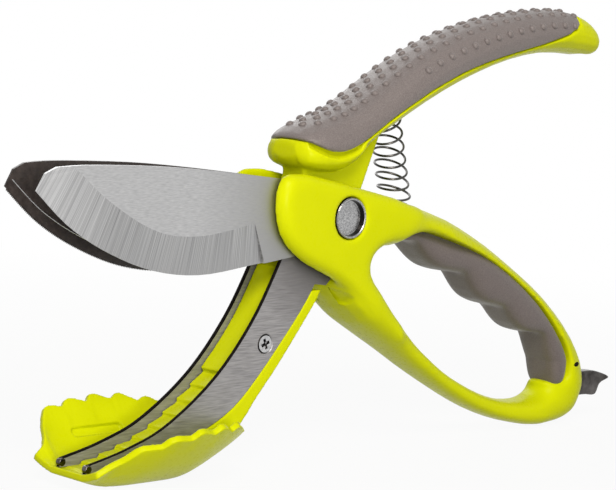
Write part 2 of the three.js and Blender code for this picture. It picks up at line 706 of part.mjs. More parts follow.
function pivotNut() {
  const head = BOLT_HEAD_DIA / 2;
  const bore = BOLT_DIA / 2 + CLEARANCE;
  return turned([0, 0], [
    [0, HEAD_SEAT + NUT_BORE], [bore, HEAD_SEAT + NUT_BORE], [bore, HEAD_SEAT], [head, HEAD_SEAT],
    [head, CHEEK_OUT - 0.8], [head - 1.2, CHEEK_OUT], [0, CHEEK_OUT],
  ], 28);
}

function pivotBush() {
  const inner = BOLT_DIA / 2 + CLEARANCE;
  return turned([0, 0], [
    [inner, -RAIL_OUT], [BUSH_RADIUS, -RAIL_OUT], [BUSH_RADIUS, RAIL_OUT], [inner, RAIL_OUT],
    [inner, -RAIL_OUT],
  ]);
}

function pivotRoom() {
  const head = BOLT_HEAD_DIA / 2 + CLEARANCE;
  const shank = BOLT_DIA / 2 + CLEARANCE;
  const seat = HEAD_SEAT - CLEARANCE;
  return turned([0, 0], [
    [0, -20], [head, -20], [head, -seat], [shank, -seat], [shank, seat], [head, seat], [head, 20], [0, 20],
  ], 28);
}

// Fasteners of the loop handle
function shellScrew(place, gap) {
  const head = SHELL_SCREW_HEAD_DIA / 2 + gap;
  const shank = SHELL_SCREW_DIA / 2 + gap;
  const seat = SHELL_SCREW_HEAD_Y - gap;
  const top = gap > 0 ? 20 : SHELL_SCREW_HEAD_Y + SHELL_SCREW_HEAD_HEIGHT;
  const tip = -SHELL_SCREW_REACH - gap;
  return turned(place, [[0, tip], [shank, tip], [shank, seat], [head, seat], [head, top], [0, top]], 18);
}

const bladePin = (gap) =>
  rod(BLADE_PIN, BLADE_PIN_DIA / 2 + gap, -CHEEK_IN - BLADE_PIN_DEPTH - gap, -BLADE_IN, 18);

// Lock lever: a hooked beak on a pin near the loop's end, and the slot it swings in
const LOCK_BEAK = [[131.5, -62.4], [142, -62], [148, -62.8], [155, -65.4], [149.6, -67.4], [147, -71.4],
  [141, -71],
  [132, -71]];

function lockLever() {
  const eye = rod(LOCK_PIN, LOCK_EYE_RADIUS, -LOCK_HALF, LOCK_HALF, 20);
  const beak = plate(spline(LOCK_BEAK, 24), -LOCK_HALF, LOCK_HALF);
  return cut(join(eye, beak), rod(LOCK_PIN, LOCK_PIN_DIA / 2 + CLEARANCE, -20, 20, 16));
}

function lockRoom() {
  const [x, z] = LOCK_PIN;
  const eye = LOCK_EYE_RADIUS + 0.8;
  const reach = LOCK_SWEEP + 0.8;
  const corners = [[x + reach, z - eye - 1], [x + reach, z + reach], [x - eye, z + reach]];
  const outline = [...arc(LOCK_PIN, eye, 180, 265, 8), ...corners.map(at)];
  return plate(outline, -LOCK_HALF - CLEARANCE, LOCK_HALF + CLEARANCE);
}

const lockPin = (gap) => rod(LOCK_PIN, LOCK_PIN_DIA / 2 + gap, -6 - gap, 6 + gap, 16);

// Spring seat: a spigot on the loop inside the last coil
function spigot() {
  const geometry = new THREE.CylinderGeometry(SPIGOT_RADIUS, SPIGOT_RADIUS, SPIGOT_HEIGHT + 6, 20);
  geometry.rotateX(Math.PI / 2);
  geometry.translate(SPRING_FOOT[0], 0, SPRING_FOOT[1] + SPIGOT_HEIGHT / 2 - 3);
  return solid(geometry);
}

function springRing() {
  const outer = SPRING_RADIUS + SPRING_WIRE;
  const geometry = new THREE.CylinderGeometry(outer, outer, 8, 24);
  geometry.rotateX(Math.PI / 2);
  geometry.translate(SPRING_FOOT[0], 0, SPRING_FOOT[1] - CLEARANCE + 4);
  return solid(geometry);
}

// A hollow under each cheek, where the rail's lug shows
const SCOOP = { x: 2, y: 15, z: -27.4, length: 7.4, depth: 4.6, height: 3.8, tilt: 6 };

function scoop(side) {
  const geometry = new THREE.SphereGeometry(1, 14, 8);
  geometry.scale(SCOOP.length, SCOOP.depth, SCOOP.height);
  geometry.rotateY(THREE.MathUtils.degToRad(SCOOP.tilt));
  geometry.translate(SCOOP.x, side * SCOOP.y, SCOOP.z);
  return solid(geometry);
}

// Loop handle as one body, then cut into a near and a far half shell
function loopBody() {
  const raw = cut(join(loopSweep(), clevis()), springRing());
  return cut(
    join(raw, spigot()),
    clevisSlot(),
    gripRoom(),
    pivotRoom(),
    bladePin(CLEARANCE),
    mirrored(bladePin(CLEARANCE)),
    scoop(-1),
    scoop(1),
    lockRoom(),
    lockPin(CLEARANCE),
    ...SHELL_SCREWS.map((place) => shellScrew(place, CLEARANCE)),
  );
}

function halfSpace(side) {
  const geometry = new THREE.BoxGeometry(400, 40, 400);
  geometry.translate(0, side * (20 + SHELL_SPLIT), 0);
  return solid(geometry);
}

// Spring: one unbroken helix whose coils lean more and more towards its head, with straight ends
const CURL_STEPS = 8;
const WIRE_SIDES = 5;

function coil(share) {
  const { lerp, degToRad } = THREE.MathUtils;
  const angle = share * SPRING_TURNS * 2 * Math.PI;
  const tilt = degToRad(SPRING_TILT * share);
  const top = SPRING_HEAD[1] - SPRING_WIRE - SPRING_RADIUS * Math.sin(degToRad(SPRING_TILT));
  const x = lerp(SPRING_FOOT[0], SPRING_HEAD[0], share);
  const z = lerp(SPRING_FOOT[1] + SPRING_WIRE, top, share);
  const radial = new THREE.Vector3(Math.cos(tilt), 0, Math.sin(tilt)).multiplyScalar(Math.cos(angle));
  radial.setY(Math.sin(angle));
  return { radial, point: new THREE.Vector3(x, 0, z).addScaledVector(radial, SPRING_RADIUS) };
}

function springLine() {
  const steps = Math.round(SPRING_TURNS * CURL_STEPS);
  const coils = Array.from({ length: steps + 1 }, (_, i) => coil(i / steps));
  const first = { ...coils[0], point: coils[0].point.clone().setZ(SPRING_FOOT[1]) };
  const last = { ...coils[steps], point: coils[steps].point.clone().setZ(SPRING_HEAD[1]) };
  return [first, ...coils, last];
}

function leastGap(line) {
  let least = Infinity;
  for (let i = 0; i < line.length; i += 1) {
    for (let j = i + CURL_STEPS / 2; j < line.length; j += 1) {
      least = Math.min(least, line[i].point.distanceTo(line[j].point));
    }
  }
  return least - SPRING_WIRE;
}

function spring() {
  const line = springLine();
  console.log(`spring: least gap between coils ${leastGap(line).toFixed(2)} mm`);
  const rings = line.map(({ point, radial }, i) => {
    const before = line[Math.max(i - 1, 0)].point;
    const after = line[Math.min(i + 1, line.length - 1)].point;
    const ends = i === 0 || i === line.length - 1;
    const along = ends ? new THREE.Vector3(0, 0, 1) : after.clone().sub(before).normalize();
    const outward = radial.clone().addScaledVector(along, -radial.dot(along)).normalize();
    const third = along.clone().cross(outward);
    const ring = [];
    for (let k = 0; k < WIRE_SIDES; k += 1) {
      const angle = (2 * Math.PI * k) / WIRE_SIDES;
      ring.push(point.clone()
        .addScaledVector(outward, (SPRING_WIRE / 2) * Math.cos(angle))
        .addScaledVector(third, (SPRING_WIRE / 2) * Math.sin(angle)));
    }
    return ring;
  });
  return skin(rings);
}

// Assembly
const scissors = new THREE.Group();
const loop = loopBody();
scissors.add(
  piece('loop_shell_near', loop.intersect(halfSpace(-1)), LIME),
  piece('loop_shell_far', loop.intersect(halfSpace(1)), LIME),
  piece('finger_grip', fingerGrip(), SOFT_GREY),
  piece('blade_near', nearBlade(), STEEL),
  piece('blade_far', mirrored(nearBlade()), DARK_STEEL),
  piece('blade_pin_near', bladePin(0), CHROME),
  piece('blade_pin_far', mirrored(bladePin(0)), CHROME),
  piece('pivot_bolt', pivotBolt(), CHROME),
  piece('pivot_nut', pivotNut(), CHROME),
  piece('lock_pin', lockPin(0), CHROME),
  ...SHELL_SCREWS.map((place, i) => piece(`shell_screw_${i + 1}`, shellScrew(place, 0), CHROME)),
  piece('upper_handle', upperHandle(), LIME),
  piece('upper_grip', upperGrip(), SOFT_GREY),
  piece('jaw_spoon', cut(jawSpoon(), slotTool(1), slotTool(-1)), LIME),
  piece('rail_near', nearRail(), STEEL),
  piece('rail_far', mirrored(nearRail()), STEEL),
  piece('rail_screw_near_front', railScrew(RAIL_SCREW_FRONT, 0), CHROME),
  piece('rail_screw_far_front', mirrored(railScrew(RAIL_SCREW_FRONT, 0)), CHROME),
  piece('rail_screw_near_rear', railScrew(RAIL_SCREW_REAR, 0), CHROME),
  piece('rail_screw_far_rear', mirrored(railScrew(RAIL_SCREW_REAR, 0)), CHROME),
  piece('pivot_bush', pivotBush(), CHROME),
  piece('return_spring', spring(), GUNMETAL),
  piece('lock_lever', lockLever(), GUNMETAL),
);

// Stand the scissors on the spoon and the loop, with the origin under the middle of the whole
const box = new THREE.Box3().setFromObject(scissors);
scissors.position.set(-(box.min.x + box.max.x) / 2, -(box.min.y + box.max.y) / 2, -box.min.z);
scissors.updateMatrixWorld(true);

export default scissors;
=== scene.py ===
"""Looks of the salad scissors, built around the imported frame."""
import json
import math

import bmesh
import bpy
from mathutils import Matrix, Vector


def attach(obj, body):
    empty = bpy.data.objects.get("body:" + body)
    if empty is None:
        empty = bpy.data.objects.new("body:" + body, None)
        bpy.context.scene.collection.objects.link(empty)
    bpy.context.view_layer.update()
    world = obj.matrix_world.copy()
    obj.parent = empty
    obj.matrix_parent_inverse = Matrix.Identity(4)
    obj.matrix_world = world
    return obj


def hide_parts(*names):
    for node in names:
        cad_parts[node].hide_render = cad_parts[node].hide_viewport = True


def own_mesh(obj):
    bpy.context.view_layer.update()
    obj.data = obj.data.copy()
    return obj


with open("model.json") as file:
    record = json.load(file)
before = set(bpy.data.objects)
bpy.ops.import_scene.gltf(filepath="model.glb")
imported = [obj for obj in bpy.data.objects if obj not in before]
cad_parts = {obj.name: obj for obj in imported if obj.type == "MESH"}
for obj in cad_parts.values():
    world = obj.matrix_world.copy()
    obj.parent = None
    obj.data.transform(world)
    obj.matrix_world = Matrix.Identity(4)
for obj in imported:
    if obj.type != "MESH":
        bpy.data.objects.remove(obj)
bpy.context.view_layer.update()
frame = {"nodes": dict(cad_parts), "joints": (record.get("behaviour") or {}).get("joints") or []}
scene = bpy.context.scene
MM = 0.001
PIVOT = Vector(frame["joints"][0]["pos_m"])


def spot(x, y, z):
    """A point given in millimetres about the pivot, in the row frame."""
    return PIVOT + Vector((x, y, z)) * MM


# Places and sizes below are in millimetres about the pivot, and angles in degrees

# Blades
BLADE_INSIDE = 7.3
CUTTING_EDGE = [
    (-122.5, 10.4), (-110, -0.2), (-95, -8.4), (-77, -14.6), (-58, -16.6), (-36, -14.2), (-22, -12.4),
]
EDGE_PARTS = 120
EDGE_SHOWN = slice(3, 106)
EDGE_SINK = 0.45
BEVEL_LINE_SHIFT = (1.4, 3.0)
GRIND_CENTRE = (-48.6, 0, 131)
TANG_RADIUS = 9.6
TANG_FRONT = -4
TANG_FLOOR = -14

# Return spring
SPRING_FOOT = (34.5, 1.6)
SPRING_HEAD = (27, 34)
SPRING_RADIUS = 5.4
SPRING_TURNS = 7
SPRING_STEPS = 28
SPRING_TILT = 24
SPRING_WIRE = 0.8
SPRING_SWAY = 0.3

# Upper handle
GRIP_CORE = [
    (-12, 24), (0, 25), (12, 30), (26, 38.5), (42, 47), (60, 53.5), (80, 58.5), (98, 61.5), (112, 62),
]
OUTER_BUMPS_START = 34
NOSE_HALF = 13.0
NOSE_FOOT = 14.6
NOSE_MIDDLE = 24.0
NOSE_FRONT = -22
NOSE_FRONT_FADE = 3
NOSE_REAR = 14
NOSE_REAR_FADE = 10
NOSE_ROUND = 2.25
NOSE_SQUARE = 3.2
NOSE_CORNERS = [(x, y, NOSE_FOOT + 2) for y in (-10, 10) for x in (-14, -7, 0, 7)]
WEB_HALF = 5.4

# Jaw with its spoon and rails
BELLY_TOP = -65
BELLY_FADE = 5
LIP_END = -92
LIP_FADE = 6
TOOTH_RANGE = (-94, -47)
TOOTH_PITCH = 9.6
TOOTH_EXTRA = 0.5
TOOTH_FRONT = 0.18
TOOTH_BACK = 0.6
TOOTH_BAND = (1.5, 4)
WING_START = 13
RAIL_OUTSIDE = 7.0
RAIL_UPPER = [
    (-10.5, 4), (-19, -3), (-24.5, -15), (-35, -33), (-49.5, -49.6), (-68, -62.7), (-84, -68.8), (-99, -72.3),
]
BEAD_PARTS = 90
BEAD_START = 18
BEAD_MIDDLE = 6.5
RAIL_TOE = (-98.6, -73.2)
TOE_MIDDLE = 6.3
TOE_RADIUS = 1.3
TOE_WIDTH = 2.1
TOE_EDGE = 0.45
RAIL_SCREWS = {"front": (-29, -40), "rear": (-9.6, 4.4)}

# Finger loop
SEAM_BAND = 0.4
SEAM_OVERLAP = 0.1
LIMB_STEPS = [(38, -1), (37, -6), (33, -42), (29, -38)]
LIMB_SIDE = 11
GRIP_END = [(118, -64), (105, -62)]
GRIP_END_ROWS = (-6, 0, 6)
REAR_CORNER = [(133, -74), (126, -78), (136, -66)]
REAR_CORNER_ROWS = (-8, 0, 8)
RIM_SLOT = (127.3, -57.6)
RIM_SLOT_SIZE = (2.2, 1.1, 0.6)
RIM_SLOT_SINK = 0.38
WELL_OUTSIDE = -30
SCOOP = (-3.4, -27)
SCOOP_LENGTH = 9.5
SCOOP_HEIGHT = 4.0
SCOOP_DEPTH = 9.5
SCOOP_SLOPE = 0.12
SCOOP_INSIDE = 5
SCOOP_WALL = 0.2
SCOOP_MIDDLE = 0.6
SCOOP_LIP = 0.35
LOOP_CENTRE = (70, -38)
GRIP_BED = 1.4
GRIP_FOOT = -56
GRIP_FOOT_FADE = 7
GRIP_FOOT_SHIFT = (-1.5, 0, -3.5)
GRIP_RIDGE = 1.5
GRIP_RIDGE_FADE = 5
SHELL_SCREWS = {"1": (14, -25), "2": (43, -2.8), "3": (121, -73.6)}
SHELL_SCREW_TOP = 6.6

# How far the screws' cross is turned, in radians
CROSS_TURN = 0.35

# Camera of the photograph, with its focal length and width in pixels
FOCAL_LENGTH = 2200
PHOTO_WIDTH = 616
SENSOR_WIDTH = 36.0
CAMERA_PLACE = (-503.3, -509.5, 63.5)
CAMERA_RIGHT = (0.7181, -0.694, 0.0524)
CAMERA_BACK = (-0.6951, -0.7116, 0.1026)


class Finish:
    """A node material with short ways to add textures to its shader."""

    def __init__(self, name, color, roughness, metallic=0.0, **sockets):
        self.material = bpy.data.materials.new(name)
        self.material.use_nodes = True
        self.tree = self.material.node_tree
        self.shader = self.tree.nodes["Principled BSDF"]
        self.shader.inputs["Base Color"].default_value = (*color, 1)
        self.shader.inputs["Roughness"].default_value = roughness
        self.shader.inputs["Metallic"].default_value = metallic
        for socket, value in sockets.items():
            self.shader.inputs[socket.replace("_", " ")].default_value = value
        self.place = self.tree.nodes.new("ShaderNodeTexCoord").outputs["Object"]

    def node(self, kind, **values):
        made = self.tree.nodes.new("ShaderNode" + kind)
        for key, value in values.items():
            setattr(made, key, value)
        return made

    def link(self, output, socket):
        self.tree.links.new(output, socket)

    def noise(self, scale, detail=3.0, stretch=(1, 1, 1), turn=0.0):
        mapping = self.node("Mapping")
        mapping.inputs["Scale"].default_value = stretch
        mapping.inputs["Rotation"].default_value = (0, turn, 0)
        self.link(self.place, mapping.inputs["Vector"])
        texture = self.node("TexNoise")
        texture.inputs["Scale"].default_value = scale
        texture.inputs["Detail"].default_value = detail
        self.link(mapping.outputs["Vector"], texture.inputs["Vector"])
        return texture.outputs["Fac"]

    def spread(self, value, low, high, start=0.3, end=0.7):
        """value, which runs from start to end, stretched to run from low to high."""
        span = self.node("MapRange")
        self.link(value, span.inputs["Value"])
        span.inputs["From Min"].default_value = start
        span.inputs["From Max"].default_value = end
        span.inputs["To Min"].default_value = low
        span.inputs["To Max"].default_value = high
        return span.outputs["Result"]

    def between(self, share, first, second):
        """Two colours, or the outputs that carry them, mixed by share."""
        mix = self.node("Mix", data_type="RGBA")
        self.link(share, mix.inputs["Factor"])
        for socket, value in ((mix.inputs[6], first), (mix.inputs[7], second)):
            if isinstance(value, tuple):
                socket.default_value = (*value, 1)
            else:
                self.link(value, socket)
        return mix.outputs[2]

    def either(self, share, first, second):
        """Two numbers' outputs mixed by share."""
        mix = self.node("Mix")
        self.link(share, mix.inputs["Factor"])
        self.link(first, mix.inputs["A"])
        self.link(second, mix.inputs["B"])
        return mix.outputs["Result"]

    def color(self, output):
        self.link(output, self.shader.inputs["Base Color"])

    def rough(self, output):
        self.link(output, self.shader.inputs["Roughness"])

    def bump(self, height, distance, strength=1.0):
        bump = self.node("Bump")
        bump.inputs["Distance"].default_value = distance
        bump.inputs["Strength"].default_value = strength
        self.link(height, bump.inputs["Height"])
        self.link(bump.outputs["Normal"], self.shader.inputs["Normal"])


def lime_moulding():
    """Glossy lime plastic with faint clouds."""
    made = Finish("lime_moulding", (0.63, 0.7, 0.002), 0.3, Specular_IOR_Level=0.06)
    clouds = made.spread(made.noise(40), 0, 1)
    made.color(made.between(clouds, (0.605, 0.672, 0.0012), (0.645, 0.705, 0.0024)))
    made.rough(made.spread(made.noise(900), 0.24, 0.36))
    made.bump(made.noise(2600, 4), 0.00003)
    return made.material


def soft_grip(name, dark, light):
    """Matt, finely grained rubber between two tones."""
    made = Finish(name, dark, 0.5, Specular_IOR_Level=0.42, Sheen_Weight=0.15)
    speckle = made.noise(2400, 4)
    made.color(made.between(made.spread(speckle, 0, 1), dark, light))
    made.rough(made.spread(made.noise(1500), 0.4, 0.54))
    made.bump(speckle, 0.00008)
    return made.material


def leaning(made, start, end):
    """Rises from 0 to 1 where faces lean away from Y, between two cosines of the lean."""
    normal = made.node("SeparateXYZ")
    made.link(made.node("NewGeometry").outputs["True Normal"], normal.inputs["Vector"])
    size = made.node("Math", operation="ABSOLUTE")
    made.link(normal.outputs["Y"], size.inputs[0])
    return made.spread(size.outputs["Value"], 1, 0, end, start)


def rays(made, centre, count, drift):
    """Fine lines that all point to a centre, as a wheel leaves them on a ground bevel."""
    place = made.node("VectorMath", operation="SUBTRACT")
    made.link(made.place, place.inputs[0])
    place.inputs[1].default_value = spot(*centre)
    parts = made.node("SeparateXYZ")
    made.link(place.outputs["Vector"], parts.inputs["Vector"])
    angle = made.node("Math", operation="ARCTAN2")
    made.link(parts.outputs["X"], angle.inputs[0])
    made.link(parts.outputs["Z"], angle.inputs[1])
    across = made.node("Math", operation="MULTIPLY")
    made.link(angle.outputs["Value"], across.inputs[0])
    across.inputs[1].default_value = count
    down = made.node("Math", operation="MULTIPLY")
    made.link(parts.outputs["Z"], down.inputs[0])
    down.inputs[1].default_value = drift
    joined = made.node("CombineXYZ")
    made.link(across.outputs["Value"], joined.inputs["X"])
    made.link(down.outputs["Value"], joined.inputs["Z"])
    texture = made.node("TexNoise")
    texture.inputs["Scale"].default_value = 1.0
    texture.inputs["Detail"].default_value = 4.0
    made.link(joined.outputs["Vector"], texture.inputs["Vector"])
    return texture.outputs["Fac"]


def ground_steel():
    """Brushed on the flats and ground across on the bevel, with painted shade on the flats towards the cheek.
    """
    made = Finish("ground_steel", (0.5, 0.5, 0.5), 0.4, 1.0)
    bevel = leaning(made, 0.9995, 0.9985)
    along = made.noise(2200, 4, (0.2, 1, 1.6), 0.05)
    fine = rays(made, GRIND_CENTRE, 620, 20)
    broad = rays(made, GRIND_CENTRE, 200, 12)
    flat_tone = made.between(made.spread(along, 0, 1), (0.42, 0.42, 0.422), (0.55, 0.55, 0.552))
    bevel_tone = made.between(made.spread(fine, 0, 1), (0.22, 0.22, 0.222), (0.53, 0.53, 0.53))
    tip_tone = made.between(made.spread(fine, 0, 1), (0.33, 0.33, 0.332), (0.64, 0.64, 0.64))
    place = made.node("SeparateXYZ")
    made.link(made.place, place.inputs["Vector"])
    # Painted shade: the flats darken towards the cheek.
    painted_cheek_shade = made.spread(place.outputs["X"], 0, 1, spot(-62, 0, 0).x, spot(-24, 0, 0).x)
    flat_tone = made.between(painted_cheek_shade, flat_tone, (0.33, 0.328, 0.328))
    tip = made.spread(place.outputs["X"], 1, 0, spot(-116, 0, 0).x, spot(-92, 0, 0).x)
    made.color(made.between(bevel, flat_tone, made.between(tip, bevel_tone, tip_tone)))
    made.rough(made.either(bevel, made.spread(along, 0.36, 0.48), made.spread(broad, 0.34, 0.5)))
    made.bump(made.either(bevel, along, fine), 0.00002)
    return made.material


def coated_steel():
    """The dark non-stick coat of the far blade, its tone darkened further as painted shade and dark
    reflection.
    """
    made = Finish("coated_steel", (0.03, 0.024, 0.021), 0.42, 0.0, Specular_IOR_Level=0.5)
    mottle = made.spread(made.noise(500, 5), 0, 1)
    made.color(made.between(mottle, (0.02, 0.0155, 0.014), (0.04, 0.031, 0.028)))
    made.rough(made.spread(made.noise(700), 0.36, 0.54))
    made.bump(made.noise(1800, 4), 0.00002)
    return made.material


def rail_steel():
    """Brushed sheet, with painted shade where it runs under the cheek."""
    made = Finish("rail_steel", (0.3, 0.3, 0.3), 0.4, 0.45)
    along = made.noise(1500, 4, (0.12, 1, 1.8), 0.12)
    bright = made.between(made.spread(along, 0, 1), (0.21, 0.207, 0.212), (0.36, 0.357, 0.364))
    place = made.node("VectorMath", operation="DISTANCE")
    made.link(made.place, place.inputs[0])
    place.inputs[1].default_value = spot(0, -6, 0)
    # Painted shade: the rail darkens close to the pivot, where the cheek overhangs it.
    painted_cheek_shade = made.spread(place.outputs["Value"], 1, 0, 0.02, 0.042)
    made.color(made.between(painted_cheek_shade, bright, (0.11, 0.105, 0.106)))
    made.rough(made.spread(along, 0.36, 0.5))
    made.bump(along, 0.00002)
    return made.material


def blackened_edge():
    made = Finish("blackened_edge", (0.006, 0.005, 0.005), 0.7, Specular_IOR_Level=0.03)
    mottle = made.spread(made.noise(1200), 0, 1)
    made.color(made.between(mottle, (0.004, 0.0035, 0.003), (0.012, 0.01, 0.009)))
    made.rough(made.spread(made.noise(900), 0.6, 0.8))
    return made.material


def pivot_chrome():
    """Bright on the faces, with painted shade and dark reflection on the steep wall around the sunk face."""
    made = Finish("pivot_chrome", (0.5, 0.5, 0.5), 0.25, 1.0)
    grain = made.noise(2200, 4)
    face = made.between(made.spread(grain, 0, 1), (0.2, 0.2, 0.205), (0.56, 0.56, 0.56))
    # Painted shade and dark reflection: faces leaning away from Y turn near black.
    made.color(made.between(leaning(made, 0.8, 0.3), face, (0.03, 0.028, 0.026)))
    made.rough(made.spread(grain, 0.2, 0.36))
    made.bump(grain, 0.00003)
    return made.material


def screw_steel():
    """Bright on the top, with painted shade inside the recess."""
    made = Finish("screw_steel", (0.5, 0.5, 0.5), 0.3, 1.0)
    grain = made.noise(1200)
    face = made.between(made.spread(grain, 0, 1), (0.4, 0.4, 0.405), (0.62, 0.62, 0.62))
    # Painted shade: the recess walls, leaning away from the screw's axis, turn near black.
    made.color(made.between(leaning(made, 0.95, 0.8), face, (0.015, 0.014, 0.013)))
    made.rough(made.spread(grain, 0.24, 0.42))
    return made.material


def polished(name, low, high, roughness, grain=180):
    """Smooth metal that drifts between two tones."""
    made = Finish(name, low, roughness, 1.0)
    made.color(made.between(made.spread(made.noise(grain), 0, 1), low, high))
    made.rough(made.spread(made.noise(900), roughness * 0.7, roughness * 1.4))
    return made.material


LIME = lime_moulding()
SOFT = soft_grip("soft_grip", (0.14, 0.12, 0.115), (0.21, 0.185, 0.178))
# Painted shade: the finger grip's rubber is the same rubber, about 0.7 times as bright.
SHADED_FINGER_SOFT = soft_grip("finger_soft_grip", (0.097, 0.081, 0.076), (0.146, 0.123, 0.117))
GROUND = ground_steel()
COAT_AND_SHADE = coated_steel()
RAIL = rail_steel()
BLACK_EDGE = blackened_edge()
CHROME = pivot_chrome()
GUNMETAL = polished("dark_chrome", (0.035, 0.031, 0.029), (0.13, 0.12, 0.115), 0.16, 260)
WIRE = polished("spring_wire", (0.05, 0.048, 0.046), (0.12, 0.115, 0.11), 0.26)
SCREW = screw_steel()
EDGE_LINE = polished("honed_line", (0.6, 0.6, 0.6), (0.75, 0.75, 0.75), 0.35)


class Recipe:
    """A geometry node tree with named sizes and short ways to add nodes to it."""

    KINDS = {int: "NodeSocketInt", float: "NodeSocketFloat", bpy.types.Object: "NodeSocketObject",
             bpy.types.Material: "NodeSocketMaterial"}

    def __init__(self, name, **sizes):
        self.group = bpy.data.node_groups.new(name, "GeometryNodeTree")
        self.group.interface.new_socket("Geometry", in_out="OUTPUT", socket_type="NodeSocketGeometry")
        self.group.interface.new_socket("Geometry", in_out="INPUT", socket_type="NodeSocketGeometry")
        self.values = {}
        for size, value in sizes.items():
            kind = self.KINDS[type(value)]
            socket = self.group.interface.new_socket(size, in_out="INPUT", socket_type=kind)
            self.values[socket.identifier] = value
        self.source = self.group.nodes.new("NodeGroupInput").outputs

    def put(self, socket, value):
        if isinstance(value, bpy.types.NodeSocket):
            self.group.links.new(value, socket)
        else:
            socket.default_value = value

    def add(self, kind, inputs, **settings):
        """A node with some of its inputs, by name or by number, linked or set."""
        made = self.group.nodes.new(kind)
        for key, value in settings.items():
            setattr(made, key, value)
        for key, value in inputs.items():
            self.put(made.inputs[key], value)
        return made.outputs

    def geometry(self, kind, inputs, **settings):
        return self.add("GeometryNode" + kind, inputs, **settings)

    def math(self, operation, first, second=0.0):
        return self.add("ShaderNodeMath", {0: first, 1: second}, operation=operation)[0]

    def vector(self, operation, first, second):
        made = self.add("ShaderNodeVectorMath", {0: first, 1: second}, operation=operation)
        return made["Value"] if operation == "DOT_PRODUCT" else made["Vector"]

    def scaled(self, vector, share):
        return self.add("ShaderNodeVectorMath", {0: vector, "Scale": share}, operation="SCALE")["Vector"]

    def joined(self, x, y, z):
        return self.add("ShaderNodeCombineXYZ", {"X": x, "Y": y, "Z": z})["Vector"]

    def parted(self, vector):
        return self.add("ShaderNodeSeparateXYZ", {"Vector": vector})

    def close(self, geometry, finish):
        """Ends the tree: instances made real, smooth faces and the finish."""
        real = self.geometry("RealizeInstances", {"Geometry": geometry})["Geometry"]
        smooth = self.geometry("SetShadeSmooth", {"Geometry": real})["Geometry"]
        done = self.geometry("SetMaterial", {"Geometry": smooth, "Material": finish})["Geometry"]
        self.put(self.group.nodes.new("NodeGroupOutput").inputs["Geometry"], done)

    def run(self, name, mesh):
        """Runs the tree on a mesh and keeps the result as a plain piece."""
        piece = bpy.data.objects.new(name, mesh)
        scene.collection.objects.link(piece)
        modifier = piece.modifiers.new("recipe", "NODES")
        modifier.node_group = self.group
        for identifier, value in self.values.items():
            modifier[identifier] = value
        settle(piece)
        for extra in [layer.name for layer in piece.data.attributes if layer.name in ("facing", "away")]:
            piece.data.attributes.remove(piece.data.attributes[extra])
        return piece


def add_piece(name, mesh, finish):
    piece = bpy.data.objects.new(name, mesh)
    scene.collection.objects.link(piece)
    mesh.materials.clear()
    mesh.materials.append(finish)
    return piece


def settle(piece):
    """Turns a piece and its modifiers into a plain mesh."""
    seen = piece.evaluated_get(bpy.context.evaluated_depsgraph_get())
    mesh = bpy.data.meshes.new_from_object(seen)
    piece.modifiers.clear()
    piece.data = mesh
    mesh.name = piece.name
    return piece


def placed(piece, body, slot, *nodes):
    """Says what a piece rides on and which solids it stands for; slot, what it is made of, is not used."""
    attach(piece, body)
    if nodes:
        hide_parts(*nodes)
    return piece


def merged(*nodes):
    """The solids of some nodes as one bmesh, with the doubles of the loose triangles merged."""
    bm = bmesh.new()
    for node in nodes:
        bm.from_mesh(frame["nodes"][node].data)
    bmesh.ops.remove_doubles(bm, verts=bm.verts, dist=1e-6)
    return bm


def to_mesh(bm, name):
    """A bmesh as a mesh of its own, without the normals kept from the solids."""
    mesh = bpy.data.meshes.new(name)
    bm.to_mesh(mesh)
    bm.free()
    if "custom_normal" in mesh.attributes:
        mesh.attributes.remove(mesh.attributes["custom_normal"])
    return mesh


def path_mesh(name, points):
    """A mesh of one open line through the points."""
    mesh = bpy.data.meshes.new(name)
    mesh.from_pydata(points, [(i, i + 1) for i in range(len(points) - 1)], [])
    return mesh


def point_mesh(name, points, directions):
    """A mesh of loose points, each with the direction that it faces."""
    mesh = bpy.data.meshes.new(name)
    mesh.from_pydata(points, [], [])
    layer = mesh.attributes.new("facing", "FLOAT_VECTOR", "POINT")
    layer.data.foreach_set("vector", [part for direction in directions for part in direction])
    return mesh


def rounded_line(points, parts):
    """A smooth line through points, as the solids' outlines are drawn."""
    made = []
    last = len(points) - 1
    for step in range(parts + 1):
        place = step / parts * last
        i = min(int(place), last - 1)
        t = place - i
        before, start, end, after = (points[min(max(k, 0), last)] for k in (i - 1, i, i + 1, i + 2))
        made.append(tuple(
            0.5 * (2 * b + (c - a) * t
                   + (2 * a - 5 * b + 4 * c - d) * t * t + (3 * b - a - 3 * c + d) * t ** 3)
            for a, b, c, d in zip(before, start, end, after)
        ))
    return made


def smooth_faces(piece, degrees):
    """Smooth shading that keeps edges sharper than the angle."""
    mesh = piece.data
    mesh.polygons.foreach_set("use_smooth", [True] * len(mesh.polygons))
    bm = bmesh.new()
    bm.from_mesh(mesh)
    for edge in bm.edges:
        edge.smooth = edge.calc_face_angle(0) < math.radians(degrees)
    bm.to_mesh(mesh)
    bm.free()
    return piece


def moulded(piece, voxel, rounds):
    """Remakes a faceted piece as one fine skin with eased edges."""
    skin = piece.modifiers.new("skin", "REMESH")
    skin.mode = "VOXEL"
    skin.voxel_size = voxel * MM
    skin.use_smooth_shade = True
    ease = piece.modifiers.new("ease", "SMOOTH")
    ease.factor = 0.5
    ease.iterations = rounds
    return settle(piece)


def eased(piece, weigh, rounds):
    """Smooths a skin further, by a weight for each of its points."""
    group = piece.vertex_groups.new(name="ease")
    for vertex in piece.data.vertices:
        weight = min(1.0, max(0.0, weigh(vertex)))
        if weight > 0:
            group.add([vertex.index], weight, "REPLACE")
    ease = piece.modifiers.new("ease", "SMOOTH")
    ease.factor = 0.5
    ease.iterations = rounds
    ease.vertex_group = "ease"
    settle(piece)
    piece.vertex_groups.clear()
    return piece


def close_to(places, reach):
    """A weight that fades out at a reach in millimetres from the places."""
    return lambda vertex: 1.6 * (1 - min((vertex.co - place).length for place in places) / (reach * MM))


